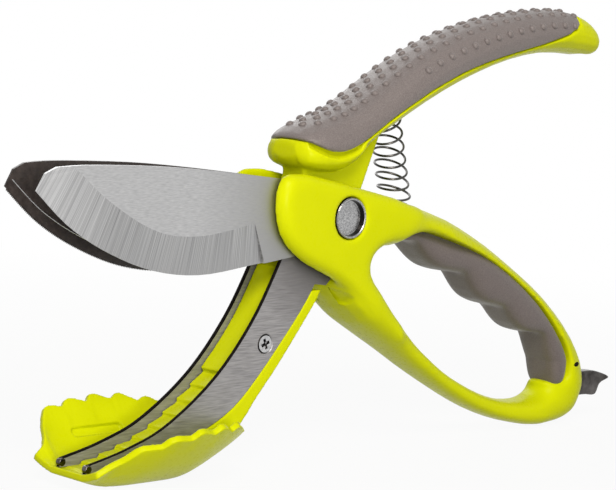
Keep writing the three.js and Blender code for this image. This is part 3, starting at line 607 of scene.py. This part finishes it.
def half(whole, name, side):
    """One half of a skin, cut at the middle plane and closed there."""
    bm = bmesh.new()
    bm.from_mesh(whole)
    everything = bm.verts[:] + bm.edges[:] + bm.faces[:]
    bmesh.ops.bisect_plane(bm, geom=everything, plane_co=PIVOT, plane_no=(0, side, 0), clear_inner=True)
    rim = [edge for edge in bm.edges if edge.is_boundary]
    bmesh.ops.triangle_fill(bm, edges=rim, use_beauty=True)
    return to_mesh(bm, name)


def hollow(whole):
    """Sinks the scoop under each cheek, with a steep lower lip."""
    normals = [vertex.normal.copy() for vertex in whole.data.vertices]
    for vertex, normal in zip(whole.data.vertices, normals):
        x, y, z = (vertex.co - PIVOT) / MM
        along = (x - SCOOP[0]) / SCOOP_LENGTH
        across = (z - SCOOP[1] + SCOOP_SLOPE * (x - SCOOP[0])) / SCOOP_HEIGHT
        reach = along * along + across * across
        if abs(y) > SCOOP_INSIDE and y * normal.y > 0 and reach < 1:
            deep = SCOOP_DEPTH * (1 - reach) ** SCOOP_WALL * (SCOOP_MIDDLE - SCOOP_LIP * across)
            vertex.co.y -= math.copysign(deep * MM, y)


def rim_slot(whole):
    """A black oval on the near face of the loop's rear end, as painted shade for the small slot there."""
    place, normal = whole.ray_cast(spot(RIM_SLOT[0], WELL_OUTSIDE, RIM_SLOT[1]), (0, 1, 0))[1:3]
    turn = normal.to_track_quat("Z", "Y").to_matrix().to_4x4()
    shape = Matrix.Diagonal([size * MM for size in RIM_SLOT_SIZE] + [1])
    sunk = Matrix.Translation(place - normal * RIM_SLOT_SINK * MM)
    bm = bmesh.new()
    bmesh.ops.create_uvsphere(bm, u_segments=24, v_segments=12, radius=1, matrix=sunk @ turn @ shape)
    # Painted shade: a flat black oval, barely standing out of the skin, where the slot is dark.
    piece = add_piece("rim_slot", to_mesh(bm, "rim_slot"), BLACK_EDGE)
    placed(smooth_faces(piece, 60), "loop", "coated_steel")


def loop_shells():
    """The finger loop, skinned as one and then parted into its two halves again."""
    bm = bmesh.new()
    for node, side in (("loop_shell_near", -1), ("loop_shell_far", 1)):
        half_shell = merged(node)
        for vertex in half_shell.verts:
            if abs(vertex.co.y - PIVOT.y) < SEAM_BAND * MM:
                vertex.co.y = PIVOT.y - side * SEAM_OVERLAP * MM
        bm.from_mesh(to_mesh(half_shell, node))
    whole = add_piece("loop_skin", to_mesh(bm, "loop_skin"), LIME)
    moulded(whole, voxel=0.58, rounds=22)
    steps = [spot(x, y, z) for y in (-LIMB_SIDE, LIMB_SIDE) for x, z in LIMB_STEPS]
    eased(whole, close_to(steps, reach=17), rounds=190)
    grip_end = [spot(x, y, z) for y in GRIP_END_ROWS for x, z in GRIP_END]
    eased(whole, close_to(grip_end, reach=10), rounds=190)
    corner = [spot(x, y, z) for y in REAR_CORNER_ROWS for x, z in REAR_CORNER]
    eased(whole, close_to(corner, reach=13), rounds=170)
    hollow(whole)
    for name, side in (("loop_shell_near", -1), ("loop_shell_far", 1)):
        piece = add_piece(name + "_skin", half(whole.data, name + "_skin", side), LIME)
        smooth_faces(piece, 60)
        placed(piece, "loop", "lime_plastic", name)
    rim_slot(whole)
    bpy.data.objects.remove(whole)


def plain_skin(node, body, finish, slot, voxel, rounds):
    """A fine skin in place of one solid."""
    piece = add_piece(node + "_skin", to_mesh(merged(node), node + "_skin"), finish)
    moulded(piece, voxel, rounds)
    return placed(piece, body, slot, node)


def square_nose(handle):
    """Fills out the lower corners of the handle's front end."""
    for vertex in handle.data.vertices:
        x, y, z = (vertex.co - PIVOT) / MM
        across = min(abs(y) / NOSE_HALF, 1)
        front = min(max((x - NOSE_FRONT) / NOSE_FRONT_FADE, 0), 1)
        share = front * min(max((NOSE_REAR - x) / NOSE_REAR_FADE, 0), 1)
        if share > 0 and abs(y) > WEB_HALF and NOSE_FOOT < z < NOSE_MIDDLE and across < 1:
            round_edge = (1 - across ** NOSE_ROUND) ** (1 / NOSE_ROUND)
            square_edge = (1 - across ** NOSE_SQUARE) ** (1 / NOSE_SQUARE)
            vertex.co.z -= share * (square_edge - round_edge) * (NOSE_MIDDLE - NOSE_FOOT) * MM
    corners = [spot(x, y, z) for x, y, z in NOSE_CORNERS]
    eased(handle, close_to(corners, reach=7), rounds=12)


def upper_handle():
    """The upper handle with its web."""
    handle = plain_skin("upper_handle", "jaw", LIME, "lime_plastic", voxel=0.6, rounds=6)
    square_nose(handle)


def plate_copy(node, body, finish, slot, edge_finish=None):
    """A flat solid as it is, with its hidden tang kept close to the pivot."""
    piece = add_piece(node + "_plate", to_mesh(merged(node), node + "_plate"), finish)
    for vertex in piece.data.vertices:
        x, y, z = (vertex.co - PIVOT) / MM
        reach = math.hypot(x, z)
        if x > TANG_FRONT and z > TANG_FLOOR and reach > TANG_RADIUS:
            vertex.co = spot(x * TANG_RADIUS / reach, y, z * TANG_RADIUS / reach)
    if edge_finish:
        piece.data.materials.append(edge_finish)
        for face in piece.data.polygons:
            face.material_index = int(abs(face.normal.y) < 0.5)
    smooth_faces(piece, 3)
    return placed(piece, body, slot, node)


def tooth(x):
    """How far a tooth stands at x, as a share: a steep front and a slope behind it."""
    front, rear = TOOTH_RANGE
    if not front < x < rear:
        return 0.0
    phase = (x - front) / TOOTH_PITCH % 1
    return min(1.0, phase / TOOTH_FRONT, (1 - phase) / TOOTH_BACK)


def belly(vertex):
    """A weight for the spoon's underside, away from its front lip."""
    x, _, z = (vertex.co - PIVOT) / MM
    downward = -0.3 - 2 * vertex.normal.z
    return min((BELLY_TOP - z) / BELLY_FADE, (x - LIP_END) / LIP_FADE, downward)


def spoon():
    """The jaw's core and spoon, with a smooth underside and crisp teeth on its wings."""
    piece = plain_skin("jaw_spoon", "jaw", LIME, "lime_plastic", voxel=0.44, rounds=1)
    eased(piece, belly, rounds=260)
    below, fade = TOOTH_BAND
    tops = {}
    for vertex in piece.data.vertices:
        x, y, z = (vertex.co - PIVOT) / MM
        if abs(y) > WING_START:
            place = (y > 0, round(x))
            tops[place] = max(tops.get(place, z), z)
    for vertex in piece.data.vertices:
        x, y, z = (vertex.co - PIVOT) / MM
        if abs(y) > WING_START:
            rim = max(tops.get((y > 0, round(x) + k), z) for k in range(-5, 6))
            near = min(1.0, max(0.0, 1 - (rim - z - below) / fade))
            vertex.co.z += TOOTH_EXTRA * near * (tooth(x) - 0.5) * MM


def round_strip(name, radius, sides, finish):
    """A tree that sweeps a round section along a line."""
    recipe = Recipe(name, Radius=radius * MM, Sides=sides, Finish=finish)
    size = recipe.source
    curve = recipe.geometry("MeshToCurve", {"Mesh": size["Geometry"]})["Curve"]
    section = {"Resolution": size["Sides"], "Radius": size["Radius"]}
    ring = recipe.geometry("CurvePrimitiveCircle", section)["Curve"]
    tube = recipe.geometry("CurveToMesh", {"Curve": curve, "Profile Curve": ring, "Fill Caps": True})
    recipe.close(tube["Mesh"], size["Finish"])
    return recipe


def grip_bumps(grip):
    """Rows of small domes along the back of the upper handle's grip."""
    recipe = Recipe(
        "grip_bumps", Pitch=5.9 * MM, Rows=6, Angle=math.radians(28), Reach=40 * MM, Radius=1.35 * MM,
        Height=0.72, Outer_start=spot(OUTER_BUMPS_START, 0, 0).x, Grip=grip, Finish=SOFT)
    size = recipe.source
    curve = recipe.geometry("MeshToCurve", {"Mesh": size["Geometry"]})["Curve"]
    dots = recipe.geometry("CurveToPoints", {"Curve": curve, "Length": size["Pitch"]}, mode="LENGTH")
    copies = {"Geometry": dots["Points"], "Amount": size["Rows"]}
    rows = recipe.geometry("DuplicateElements", copies, domain="POINT")
    row = rows["Duplicate Index"]
    middle = recipe.math("DIVIDE", recipe.math("SUBTRACT", size["Rows"], 1), 2)
    off = recipe.math("SUBTRACT", row, middle)
    lean = recipe.math("MULTIPLY", off, size["Angle"])
    tangent = recipe.parted(dots["Tangent"])
    up = recipe.joined(recipe.math("MULTIPLY", tangent["Z"], -1), 0.0, tangent["X"])
    outward = recipe.vector("ADD", recipe.scaled(up, recipe.math("COSINE", lean)),
                            recipe.joined(0.0, recipe.math("SINE", lean), 0.0))
    stagger = recipe.math("MULTIPLY", recipe.math("MODULO", row, 2), recipe.math("DIVIDE", size["Pitch"], 2))
    place = recipe.geometry("InputPosition", {})["Position"]
    start = recipe.vector("ADD", recipe.vector("ADD", place, recipe.scaled(dots["Tangent"], stagger)),
                          recipe.scaled(outward, size["Reach"]))
    grip_faces = recipe.geometry("ObjectInfo", {"Object": size["Grip"]})["Geometry"]
    hit = recipe.geometry("Raycast", {
        "Target Geometry": grip_faces, "Source Position": start,
        "Ray Direction": recipe.scaled(outward, -1.0), "Ray Length": size["Reach"]})
    facing = recipe.math("GREATER_THAN", recipe.vector("DOT_PRODUCT", hit["Hit Normal"], outward), 0.5)
    outer = recipe.math("GREATER_THAN", recipe.math("ABSOLUTE", off), 2.0)
    early = recipe.math("LESS_THAN", recipe.parted(place)["X"], size["Outer_start"])
    landed = recipe.math("MULTIPLY", hit["Is Hit"], facing)
    kept = recipe.math("SUBTRACT", landed, recipe.math("MULTIPLY", outer, early))
    marks = {"Geometry": rows["Geometry"], "Name": "facing", "Value": hit["Hit Normal"]}
    marked = recipe.geometry("StoreNamedAttribute", marks, data_type="FLOAT_VECTOR")["Geometry"]
    marks = {"Geometry": marked, "Name": "away", "Value": recipe.math("LESS_THAN", kept, 0.5)}
    marked = recipe.geometry("StoreNamedAttribute", marks)["Geometry"]
    moved = recipe.geometry("SetPosition", {"Geometry": marked, "Position": hit["Hit Position"]})["Geometry"]
    gone = recipe.geometry("InputNamedAttribute", {"Name": "away"})["Attribute"]
    left = recipe.geometry("DeleteGeometry", {"Geometry": moved, "Selection": gone}, domain="POINT")
    normal = recipe.geometry("InputNamedAttribute", {"Name": "facing"}, data_type="FLOAT_VECTOR")["Attribute"]
    turn = recipe.add("FunctionNodeAlignRotationToVector", {"Vector": normal}, axis="Z")["Rotation"]
    dome = recipe.geometry("MeshUVSphere", {"Segments": 10, "Rings": 6, "Radius": size["Radius"]})["Mesh"]
    flat = recipe.joined(1.0, 1.0, size["Height"])
    domes = recipe.geometry("InstanceOnPoints", {
        "Points": left["Geometry"], "Instance": dome, "Rotation": turn, "Scale": flat})
    recipe.close(domes["Instances"], size["Finish"])
    core = rounded_line(GRIP_CORE, parts=60)
    piece = recipe.run("upper_grip_bumps", path_mesh("grip_core", [spot(x, 0, z) for x, z in core]))
    return placed(piece, "jaw", "grip_rubber")


def coil_points():
    """The middle line of the spring, whose turns lean more towards the upper handle."""
    points = []
    top = SPRING_HEAD[1] - SPRING_WIRE - SPRING_RADIUS * math.sin(math.radians(SPRING_TILT))
    steps = SPRING_TURNS * SPRING_STEPS
    for step in range(steps + 1):
        share = step / steps
        angle = share * SPRING_TURNS * 2 * math.pi
        tilt = math.radians(SPRING_TILT) * share
        reach = SPRING_RADIUS * math.cos(angle)
        x = SPRING_FOOT[0] + (SPRING_HEAD[0] - SPRING_FOOT[0]) * share
        z = SPRING_FOOT[1] + SPRING_WIRE + (top - SPRING_FOOT[1] - SPRING_WIRE) * share
        y = SPRING_RADIUS * math.sin(angle)
        sway = SPRING_SWAY * math.sin(math.pi * share) ** 0.5 * y
        points.append(spot(x + math.cos(tilt) * reach, y, z + math.sin(tilt) * reach + sway))
    points.insert(0, points[0] - Vector((0, 0, SPRING_WIRE * MM)))
    points.append(points[-1] + Vector((0, 0, SPRING_WIRE * MM)))
    return points


def return_spring():
    """The spring's wire."""
    wire = round_strip("coil_wire", radius=SPRING_WIRE / 2, sides=12, finish=WIRE)
    piece = wire.run("return_spring_wire", path_mesh("coil", coil_points()))
    placed(piece, "loop", "spring_wire", "return_spring")
    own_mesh(piece)


def edge_teeth():
    """Fine teeth along the far blade's edge, and the line where its inner bevel starts."""
    edge = rounded_line(CUTTING_EDGE, EDGE_PARTS)[EDGE_SHOWN]
    recipe = Recipe("edge_teeth", Pitch=0.65 * MM, Width=0.42 * MM, Height=0.55 * MM, Finish=COAT_AND_SHADE)
    size = recipe.source
    curve = recipe.geometry("MeshToCurve", {"Mesh": size["Geometry"]})["Curve"]
    dots = recipe.geometry("CurveToPoints", {"Curve": curve, "Length": size["Pitch"]}, mode="LENGTH")
    tangent = recipe.parted(dots["Tangent"])
    down = recipe.joined(tangent["Z"], 0.0, recipe.math("MULTIPLY", tangent["X"], -1.0))
    turn = recipe.add("FunctionNodeAlignRotationToVector", {"Vector": down}, axis="Z")["Rotation"]
    spike = recipe.geometry("MeshCone", {
        "Vertices": 6, "Radius Top": 0.0, "Radius Bottom": size["Width"], "Depth": size["Height"]})
    teeth = recipe.geometry("InstanceOnPoints", {
        "Points": dots["Points"], "Instance": spike["Mesh"], "Rotation": turn})
    recipe.close(teeth["Instances"], size["Finish"])
    line = [spot(x, BLADE_INSIDE + EDGE_SINK, z) for x, z in edge]
    placed(recipe.run("blade_far_teeth", path_mesh("far_edge", line)), "loop", "coated_steel")
    strip = round_strip("honed_line", radius=0.13, sides=6, finish=EDGE_LINE)
    back, up = BEVEL_LINE_SHIFT
    above = [spot(x + back, BLADE_INSIDE, z + up) for x, z in edge]
    placed(strip.run("blade_far_bevel_line", path_mesh("bevel_line", above)), "loop", "blade_steel")


def screw_shape(recipe):
    """One screw along Z, with the top of its head at 0 and a cross cut into it."""
    size = recipe.source
    rim = recipe.math("MULTIPLY", size["Taper"], 0.2)
    face = recipe.math("MULTIPLY", size["Head"], 0.88)

    def moved(mesh, up, turn=(0, 0, 0)):
        place = {"Geometry": mesh["Mesh"], "Translation": recipe.joined(0.0, 0.0, up), "Rotation": turn}
        return recipe.geometry("Transform", place)["Geometry"]

    cap = recipe.geometry("MeshCone", {
        "Vertices": 48, "Radius Top": face, "Radius Bottom": size["Head"], "Depth": rim})
    cap = moved(cap, recipe.math("MULTIPLY", rim, -1.0))
    cone = recipe.geometry("MeshCone", {
        "Vertices": 48, "Radius Top": size["Shank"], "Radius Bottom": face,
        "Depth": recipe.math("SUBTRACT", size["Taper"], rim)})
    cone = moved(cone, recipe.math("MULTIPLY", rim, -0.6), (math.pi, 0, 0))
    rod_length = recipe.math("SUBTRACT", size["Length"], size["Taper"])
    rod_middle = recipe.math("ADD", recipe.math("MULTIPLY", rod_length, 0.5), size["Taper"])
    rod = recipe.geometry("MeshCylinder", {"Vertices": 24, "Radius": size["Shank"], "Depth": rod_length})
    rod = moved(rod, recipe.math("MULTIPLY", rod_middle, -0.98))
    slot_height = recipe.math("MULTIPLY", size["Slot_depth"], 2.0)
    slot = recipe.joined(size["Slot_length"], size["Slot_width"], slot_height)
    box = recipe.geometry("MeshCube", {"Size": slot})
    arms = [moved(box, 0.0, (0, 0, CROSS_TURN + turn)) for turn in (0, math.pi / 2)]
    solid = recipe.group.nodes.new("GeometryNodeMeshBoolean")
    solid.operation = "UNION"
    for part in (cap, cone, rod):
        recipe.group.links.new(part, solid.inputs["Mesh 2"])
    cut = recipe.group.nodes.new("GeometryNodeMeshBoolean")
    cut.operation = "DIFFERENCE"
    recipe.group.links.new(solid.outputs["Mesh"], cut.inputs["Mesh 1"])
    for part in arms:
        recipe.group.links.new(part, cut.inputs["Mesh 2"])
    return cut.outputs["Mesh"]


def cross_screws(name, points, directions, body, nodes, head, taper, shank, length):
    """Cross-recessed screws, each with the top of its head at a point and facing a direction."""
    recipe = Recipe(
        "cross_screw_" + name, Head=head / 2 * MM, Taper=taper * MM, Shank=shank / 2 * MM,
        Length=length * MM, Slot_width=head * 0.17 * MM, Slot_length=head * 0.56 * MM,
        Slot_depth=head * 0.12 * MM, Finish=SCREW)
    size = recipe.source
    facing = recipe.geometry("InputNamedAttribute", {"Name": "facing"}, data_type="FLOAT_VECTOR")["Attribute"]
    turn = recipe.add("FunctionNodeAlignRotationToVector", {"Vector": facing}, axis="Z")["Rotation"]
    dots = recipe.geometry("MeshToPoints", {"Mesh": size["Geometry"]})["Points"]
    copies = {"Points": dots, "Instance": screw_shape(recipe), "Rotation": turn}
    recipe.close(recipe.geometry("InstanceOnPoints", copies)["Instances"], size["Finish"])
    piece = recipe.run(name, point_mesh(name, points, directions))
    smooth_faces(piece, 30)
    return placed(piece, body, "screw_steel", *nodes)


def turned(name, profile, sides=72):
    """A chromed piece turned about the pivot from (y, radius) pairs in millimetres."""
    bm = bmesh.new()
    ends = [bm.verts.new(spot(0, y, 0)) for y, radius in (profile[0], profile[-1])]
    rings = []
    for y, radius in profile[1:-1]:
        angles = [2 * math.pi * k / sides for k in range(sides)]
        rings.append([bm.verts.new(spot(radius * math.cos(a), y, radius * math.sin(a))) for a in angles])
    for k in range(sides):
        follow = (k + 1) % sides
        bm.faces.new((ends[0], rings[0][k], rings[0][follow]))
        bm.faces.new((ends[1], rings[-1][follow], rings[-1][k]))
        for low, high in zip(rings, rings[1:]):
            bm.faces.new((low[k], high[k], high[follow], low[follow]))
    bmesh.ops.recalc_face_normals(bm, faces=bm.faces)
    piece = add_piece(name, to_mesh(bm, name), CHROME)
    return smooth_faces(piece, 35)


def pivot_pieces():
    """The pivot with the sunk face and rounded rim of its head, and its nut on the far side."""
    face = [(-11.9, 0), (-11.9, 5.2), (-12.0, 5.6), (-13.8, 5.85)]
    rim = [(-14.0, 6.05), (-13.95, 6.45), (-13.6, 6.7), (-11.4, 6.7), (-11.3, 6.55), (-11.3, 4.05)]
    shank = [(-11.25, 4), (12.6, 4), (12.7, 3.9), (12.7, 0)]
    bolt = turned("pivot_bolt_turned", face + rim + shank)
    placed(bolt, "loop", "pivot_chrome", "pivot_bolt")
    bore = [(12.8, 0), (12.8, 4.1), (11.4, 4.15)]
    outside = [(11.4, 6.6), (11.5, 6.7), (13.4, 6.7), (13.8, 6.4), (13.95, 5.8), (14.0, 4.8), (14.0, 0)]
    nut = turned("pivot_nut_turned", bore + outside)
    placed(nut, "loop", "pivot_chrome", "pivot_nut")


def rail_beads():
    """The blackened bead along the upper edge of each rail."""
    bead = round_strip("edge_bead", radius=0.5, sides=10, finish=BLACK_EDGE)
    for name, side in (("near", -1), ("far", 1)):
        edge = rounded_line(RAIL_UPPER, BEAD_PARTS)[BEAD_START:]
        line = [spot(x, side * BEAD_MIDDLE, z) for x, z in edge]
        placed(bead.run(f"rail_{name}_bead", path_mesh("rail_edge", line)), "jaw", "coated_steel")


def rail_toes():
    """The rolled toes of the rails."""
    bm = bmesh.new()
    across = Matrix.Rotation(math.pi / 2, 4, "X")
    radius = TOE_RADIUS * MM
    for side in (-1, 1):
        place = Matrix.Translation(spot(RAIL_TOE[0], side * TOE_MIDDLE, RAIL_TOE[1])) @ across
        bmesh.ops.create_cone(
            bm, segments=28, radius1=radius, radius2=radius, depth=TOE_WIDTH * MM, cap_ends=True,
            matrix=place)
    curls = add_piece("rail_toe_curls", to_mesh(bm, "rail_toe_curls"), GUNMETAL)
    edge = curls.modifiers.new("edge", "BEVEL")
    edge.width = TOE_EDGE * MM
    edge.segments = 3
    placed(smooth_faces(settle(curls), 40), "jaw", "dark_chrome")


def bedded(fingers):
    """Lets the finger grip's outer edge and lower end reach under the rim of the loop."""
    normals = [vertex.normal.copy() for vertex in fingers.data.vertices]
    for vertex, normal in zip(fingers.data.vertices, normals):
        x, _, z = (vertex.co - PIVOT) / MM
        outward = Vector((x - LOOP_CENTRE[0], 0, z - LOOP_CENTRE[1])).normalized()
        low = min(max((GRIP_FOOT - z) / GRIP_FOOT_FADE, 0), 1)
        bed = outward * max(normal.dot(outward), 0) * GRIP_BED * MM
        vertex.co += bed + Vector(GRIP_FOOT_SHIFT) * low * MM


def beside_ridge(vertex):
    """A weight that grows from the finger grip's middle to its sides."""
    return (abs(vertex.co.y - PIVOT.y) / MM - GRIP_RIDGE) / GRIP_RIDGE_FADE


def handle_grips():
    """The bumpy grip on the upper handle and the lobed one in the loop."""
    grip = plain_skin("upper_grip", "jaw", SOFT, "grip_rubber", voxel=0.6, rounds=8)
    grip_bumps(grip)
    # The finger grip takes the darker copy of the rubber, as painted shade.
    fingers = plain_skin("finger_grip", "loop", SHADED_FINGER_SOFT, "grip_rubber", voxel=0.55, rounds=6)
    eased(fingers, beside_ridge, rounds=170)
    bedded(fingers)


def screws():
    """The rails' countersunk screws and the screws inside the loop."""
    points = []
    directions = []
    nodes = []
    for place, (x, z) in RAIL_SCREWS.items():
        for side, name in ((-1, "near"), (1, "far")):
            points.append(spot(x, side * RAIL_OUTSIDE, z))
            directions.append((0, side, 0))
            nodes.append(f"rail_screw_{name}_{place}")
    cross_screws(
        "rail_screws", points, directions, "jaw", nodes, head=6.2, taper=1.6, shank=3.0, length=5.6)
    points = [spot(x, SHELL_SCREW_TOP, z) for x, z in SHELL_SCREWS.values()]
    directions = [(0, 1, 0)] * len(points)
    nodes = [f"shell_screw_{number}" for number in SHELL_SCREWS]
    cross_screws(
        "shell_screws", points, directions, "loop", nodes, head=5.0, taper=2.0, shank=2.8, length=11.0)


loop_shells()
upper_handle()
handle_grips()
spoon()
plain_skin("lock_lever", "lock", GUNMETAL, "dark_chrome", voxel=0.3, rounds=14)
plate_copy("blade_near", "loop", GROUND, "blade_steel")
# The far blade's colour is its dark coat with painted shade and dark reflection.
plate_copy("blade_far", "loop", COAT_AND_SHADE, "coated_steel")
plate_copy("rail_near", "jaw", RAIL, "blade_steel", BLACK_EDGE)
plate_copy("rail_far", "jaw", RAIL, "blade_steel", BLACK_EDGE)
edge_teeth()
return_spring()
screws()
rail_toes()
rail_beads()
pivot_pieces()

for node in ("blade_pin_near", "blade_pin_far", "pivot_bush", "lock_pin"):
    hidden = frame["nodes"][node].data
    hidden.materials.clear()
    hidden.materials.append(SCREW)


def whitened(tree, seen, lighting):
    """One strength for rays that see the background, another for rays that only light the part."""
    path = tree.nodes.new("ShaderNodeLightPath")
    total = path.outputs["Is Camera Ray"]
    for kind in ("Is Glossy Ray", "Is Transmission Ray"):
        either = tree.nodes.new("ShaderNodeMath")
        either.operation = "MAXIMUM"
        tree.links.new(total, either.inputs[0])
        tree.links.new(path.outputs[kind], either.inputs[1])
        total = either.outputs["Value"]
    level = tree.nodes.new("ShaderNodeMapRange")
    tree.links.new(total, level.inputs["Value"])
    level.inputs["To Min"].default_value = lighting
    level.inputs["To Max"].default_value = seen
    return level.outputs["Result"]


def white_world():
    world = bpy.data.worlds.new("studio")
    scene.world = world
    world.use_nodes = True
    back = world.node_tree.nodes["Background"]
    back.inputs["Color"].default_value = (1, 1, 1, 1)
    world.node_tree.links.new(whitened(world.node_tree, seen=1.0, lighting=0.15), back.inputs["Strength"])


def floor_finish():
    """White to the camera and in reflections, with some of the shadow under the part."""
    material = bpy.data.materials.new("white_floor")
    material.use_nodes = True
    tree = material.node_tree
    diffuse = tree.nodes["Principled BSDF"]
    diffuse.inputs["Base Color"].default_value = (0.5, 0.5, 0.5, 1)
    diffuse.inputs["Roughness"].default_value = 1.0
    diffuse.inputs["Specular IOR Level"].default_value = 0.0
    glow = tree.nodes.new("ShaderNodeEmission")
    glow.inputs["Strength"].default_value = 1.0
    far = tree.nodes.new("ShaderNodeVectorMath")
    far.operation = "LENGTH"
    tree.links.new(tree.nodes.new("ShaderNodeTexCoord").outputs["Object"], far.inputs[0])
    fade = tree.nodes.new("ShaderNodeMapRange")
    tree.links.new(far.outputs["Value"], fade.inputs["Value"])
    fade.inputs["From Min"].default_value = 0.15
    fade.inputs["From Max"].default_value = 0.6
    fade.inputs["To Min"].default_value = 0.94
    fade.inputs["To Max"].default_value = 1.0
    share = tree.nodes.new("ShaderNodeMath")
    share.operation = "MULTIPLY"
    tree.links.new(whitened(tree, seen=1.0, lighting=0.0), share.inputs[0])
    tree.links.new(fade.outputs["Result"], share.inputs[1])
    mix = tree.nodes.new("ShaderNodeMixShader")
    tree.links.new(share.outputs["Value"], mix.inputs[0])
    tree.links.new(diffuse.outputs["BSDF"], mix.inputs[1])
    tree.links.new(glow.outputs["Emission"], mix.inputs[2])
    tree.links.new(mix.outputs["Shader"], tree.nodes["Material Output"].inputs["Surface"])
    return material


def white_floor():
    mesh = bpy.data.meshes.new("floor")
    size = 6.0
    corners = [(-size, -size, 0), (size, -size, 0), (size, size, 0), (-size, size, 0)]
    mesh.from_pydata(corners, [], [(0, 1, 2, 3)])
    floor = add_piece("floor", mesh, floor_finish())
    floor.location = (0, 0, -0.0005)


def lamp(name, place, size, power, color=(1, 1, 1)):
    """A soft square light at a place in metres, turned to the pivot."""
    light = bpy.data.lights.new(name, "AREA")
    light.size = size
    light.energy = power
    light.color = color
    holder = bpy.data.objects.new(name, light)
    scene.collection.objects.link(holder)
    holder.location = place
    holder.rotation_euler = (PIVOT - Vector(place)).to_track_quat("-Z", "Y").to_euler()


def photo_camera():
    """The camera of the photograph, solved about the pivot."""
    camera = bpy.data.cameras.new("camera")
    camera.sensor_fit = "HORIZONTAL"
    camera.sensor_width = SENSOR_WIDTH
    camera.lens = FOCAL_LENGTH / PHOTO_WIDTH * SENSOR_WIDTH
    camera.clip_start = 0.01
    holder = bpy.data.objects.new("camera", camera)
    scene.collection.objects.link(holder)
    right = Vector(CAMERA_RIGHT).normalized()
    back = Vector(CAMERA_BACK).normalized()
    up = back.cross(right).normalized()
    right = up.cross(back)
    turn = Matrix((right, up, back)).transposed()
    holder.matrix_world = Matrix.Translation(spot(*CAMERA_PLACE)) @ turn.to_4x4()
    scene.camera = holder


white_world()
white_floor()
lamp("key", (-0.6, -0.72, 0.86), size=0.5, power=11.5, color=(1, 0.93, 0.87))
lamp("front", (-0.55, -1.0, 0.17), size=0.3, power=5.5, color=(1, 0.95, 0.9))
lamp("back", (0.3, 0.95, 0.7), size=0.8, power=4.5)
photo_camera()
scene.view_settings.view_transform = "Standard"

bpy.context.view_layer.update()
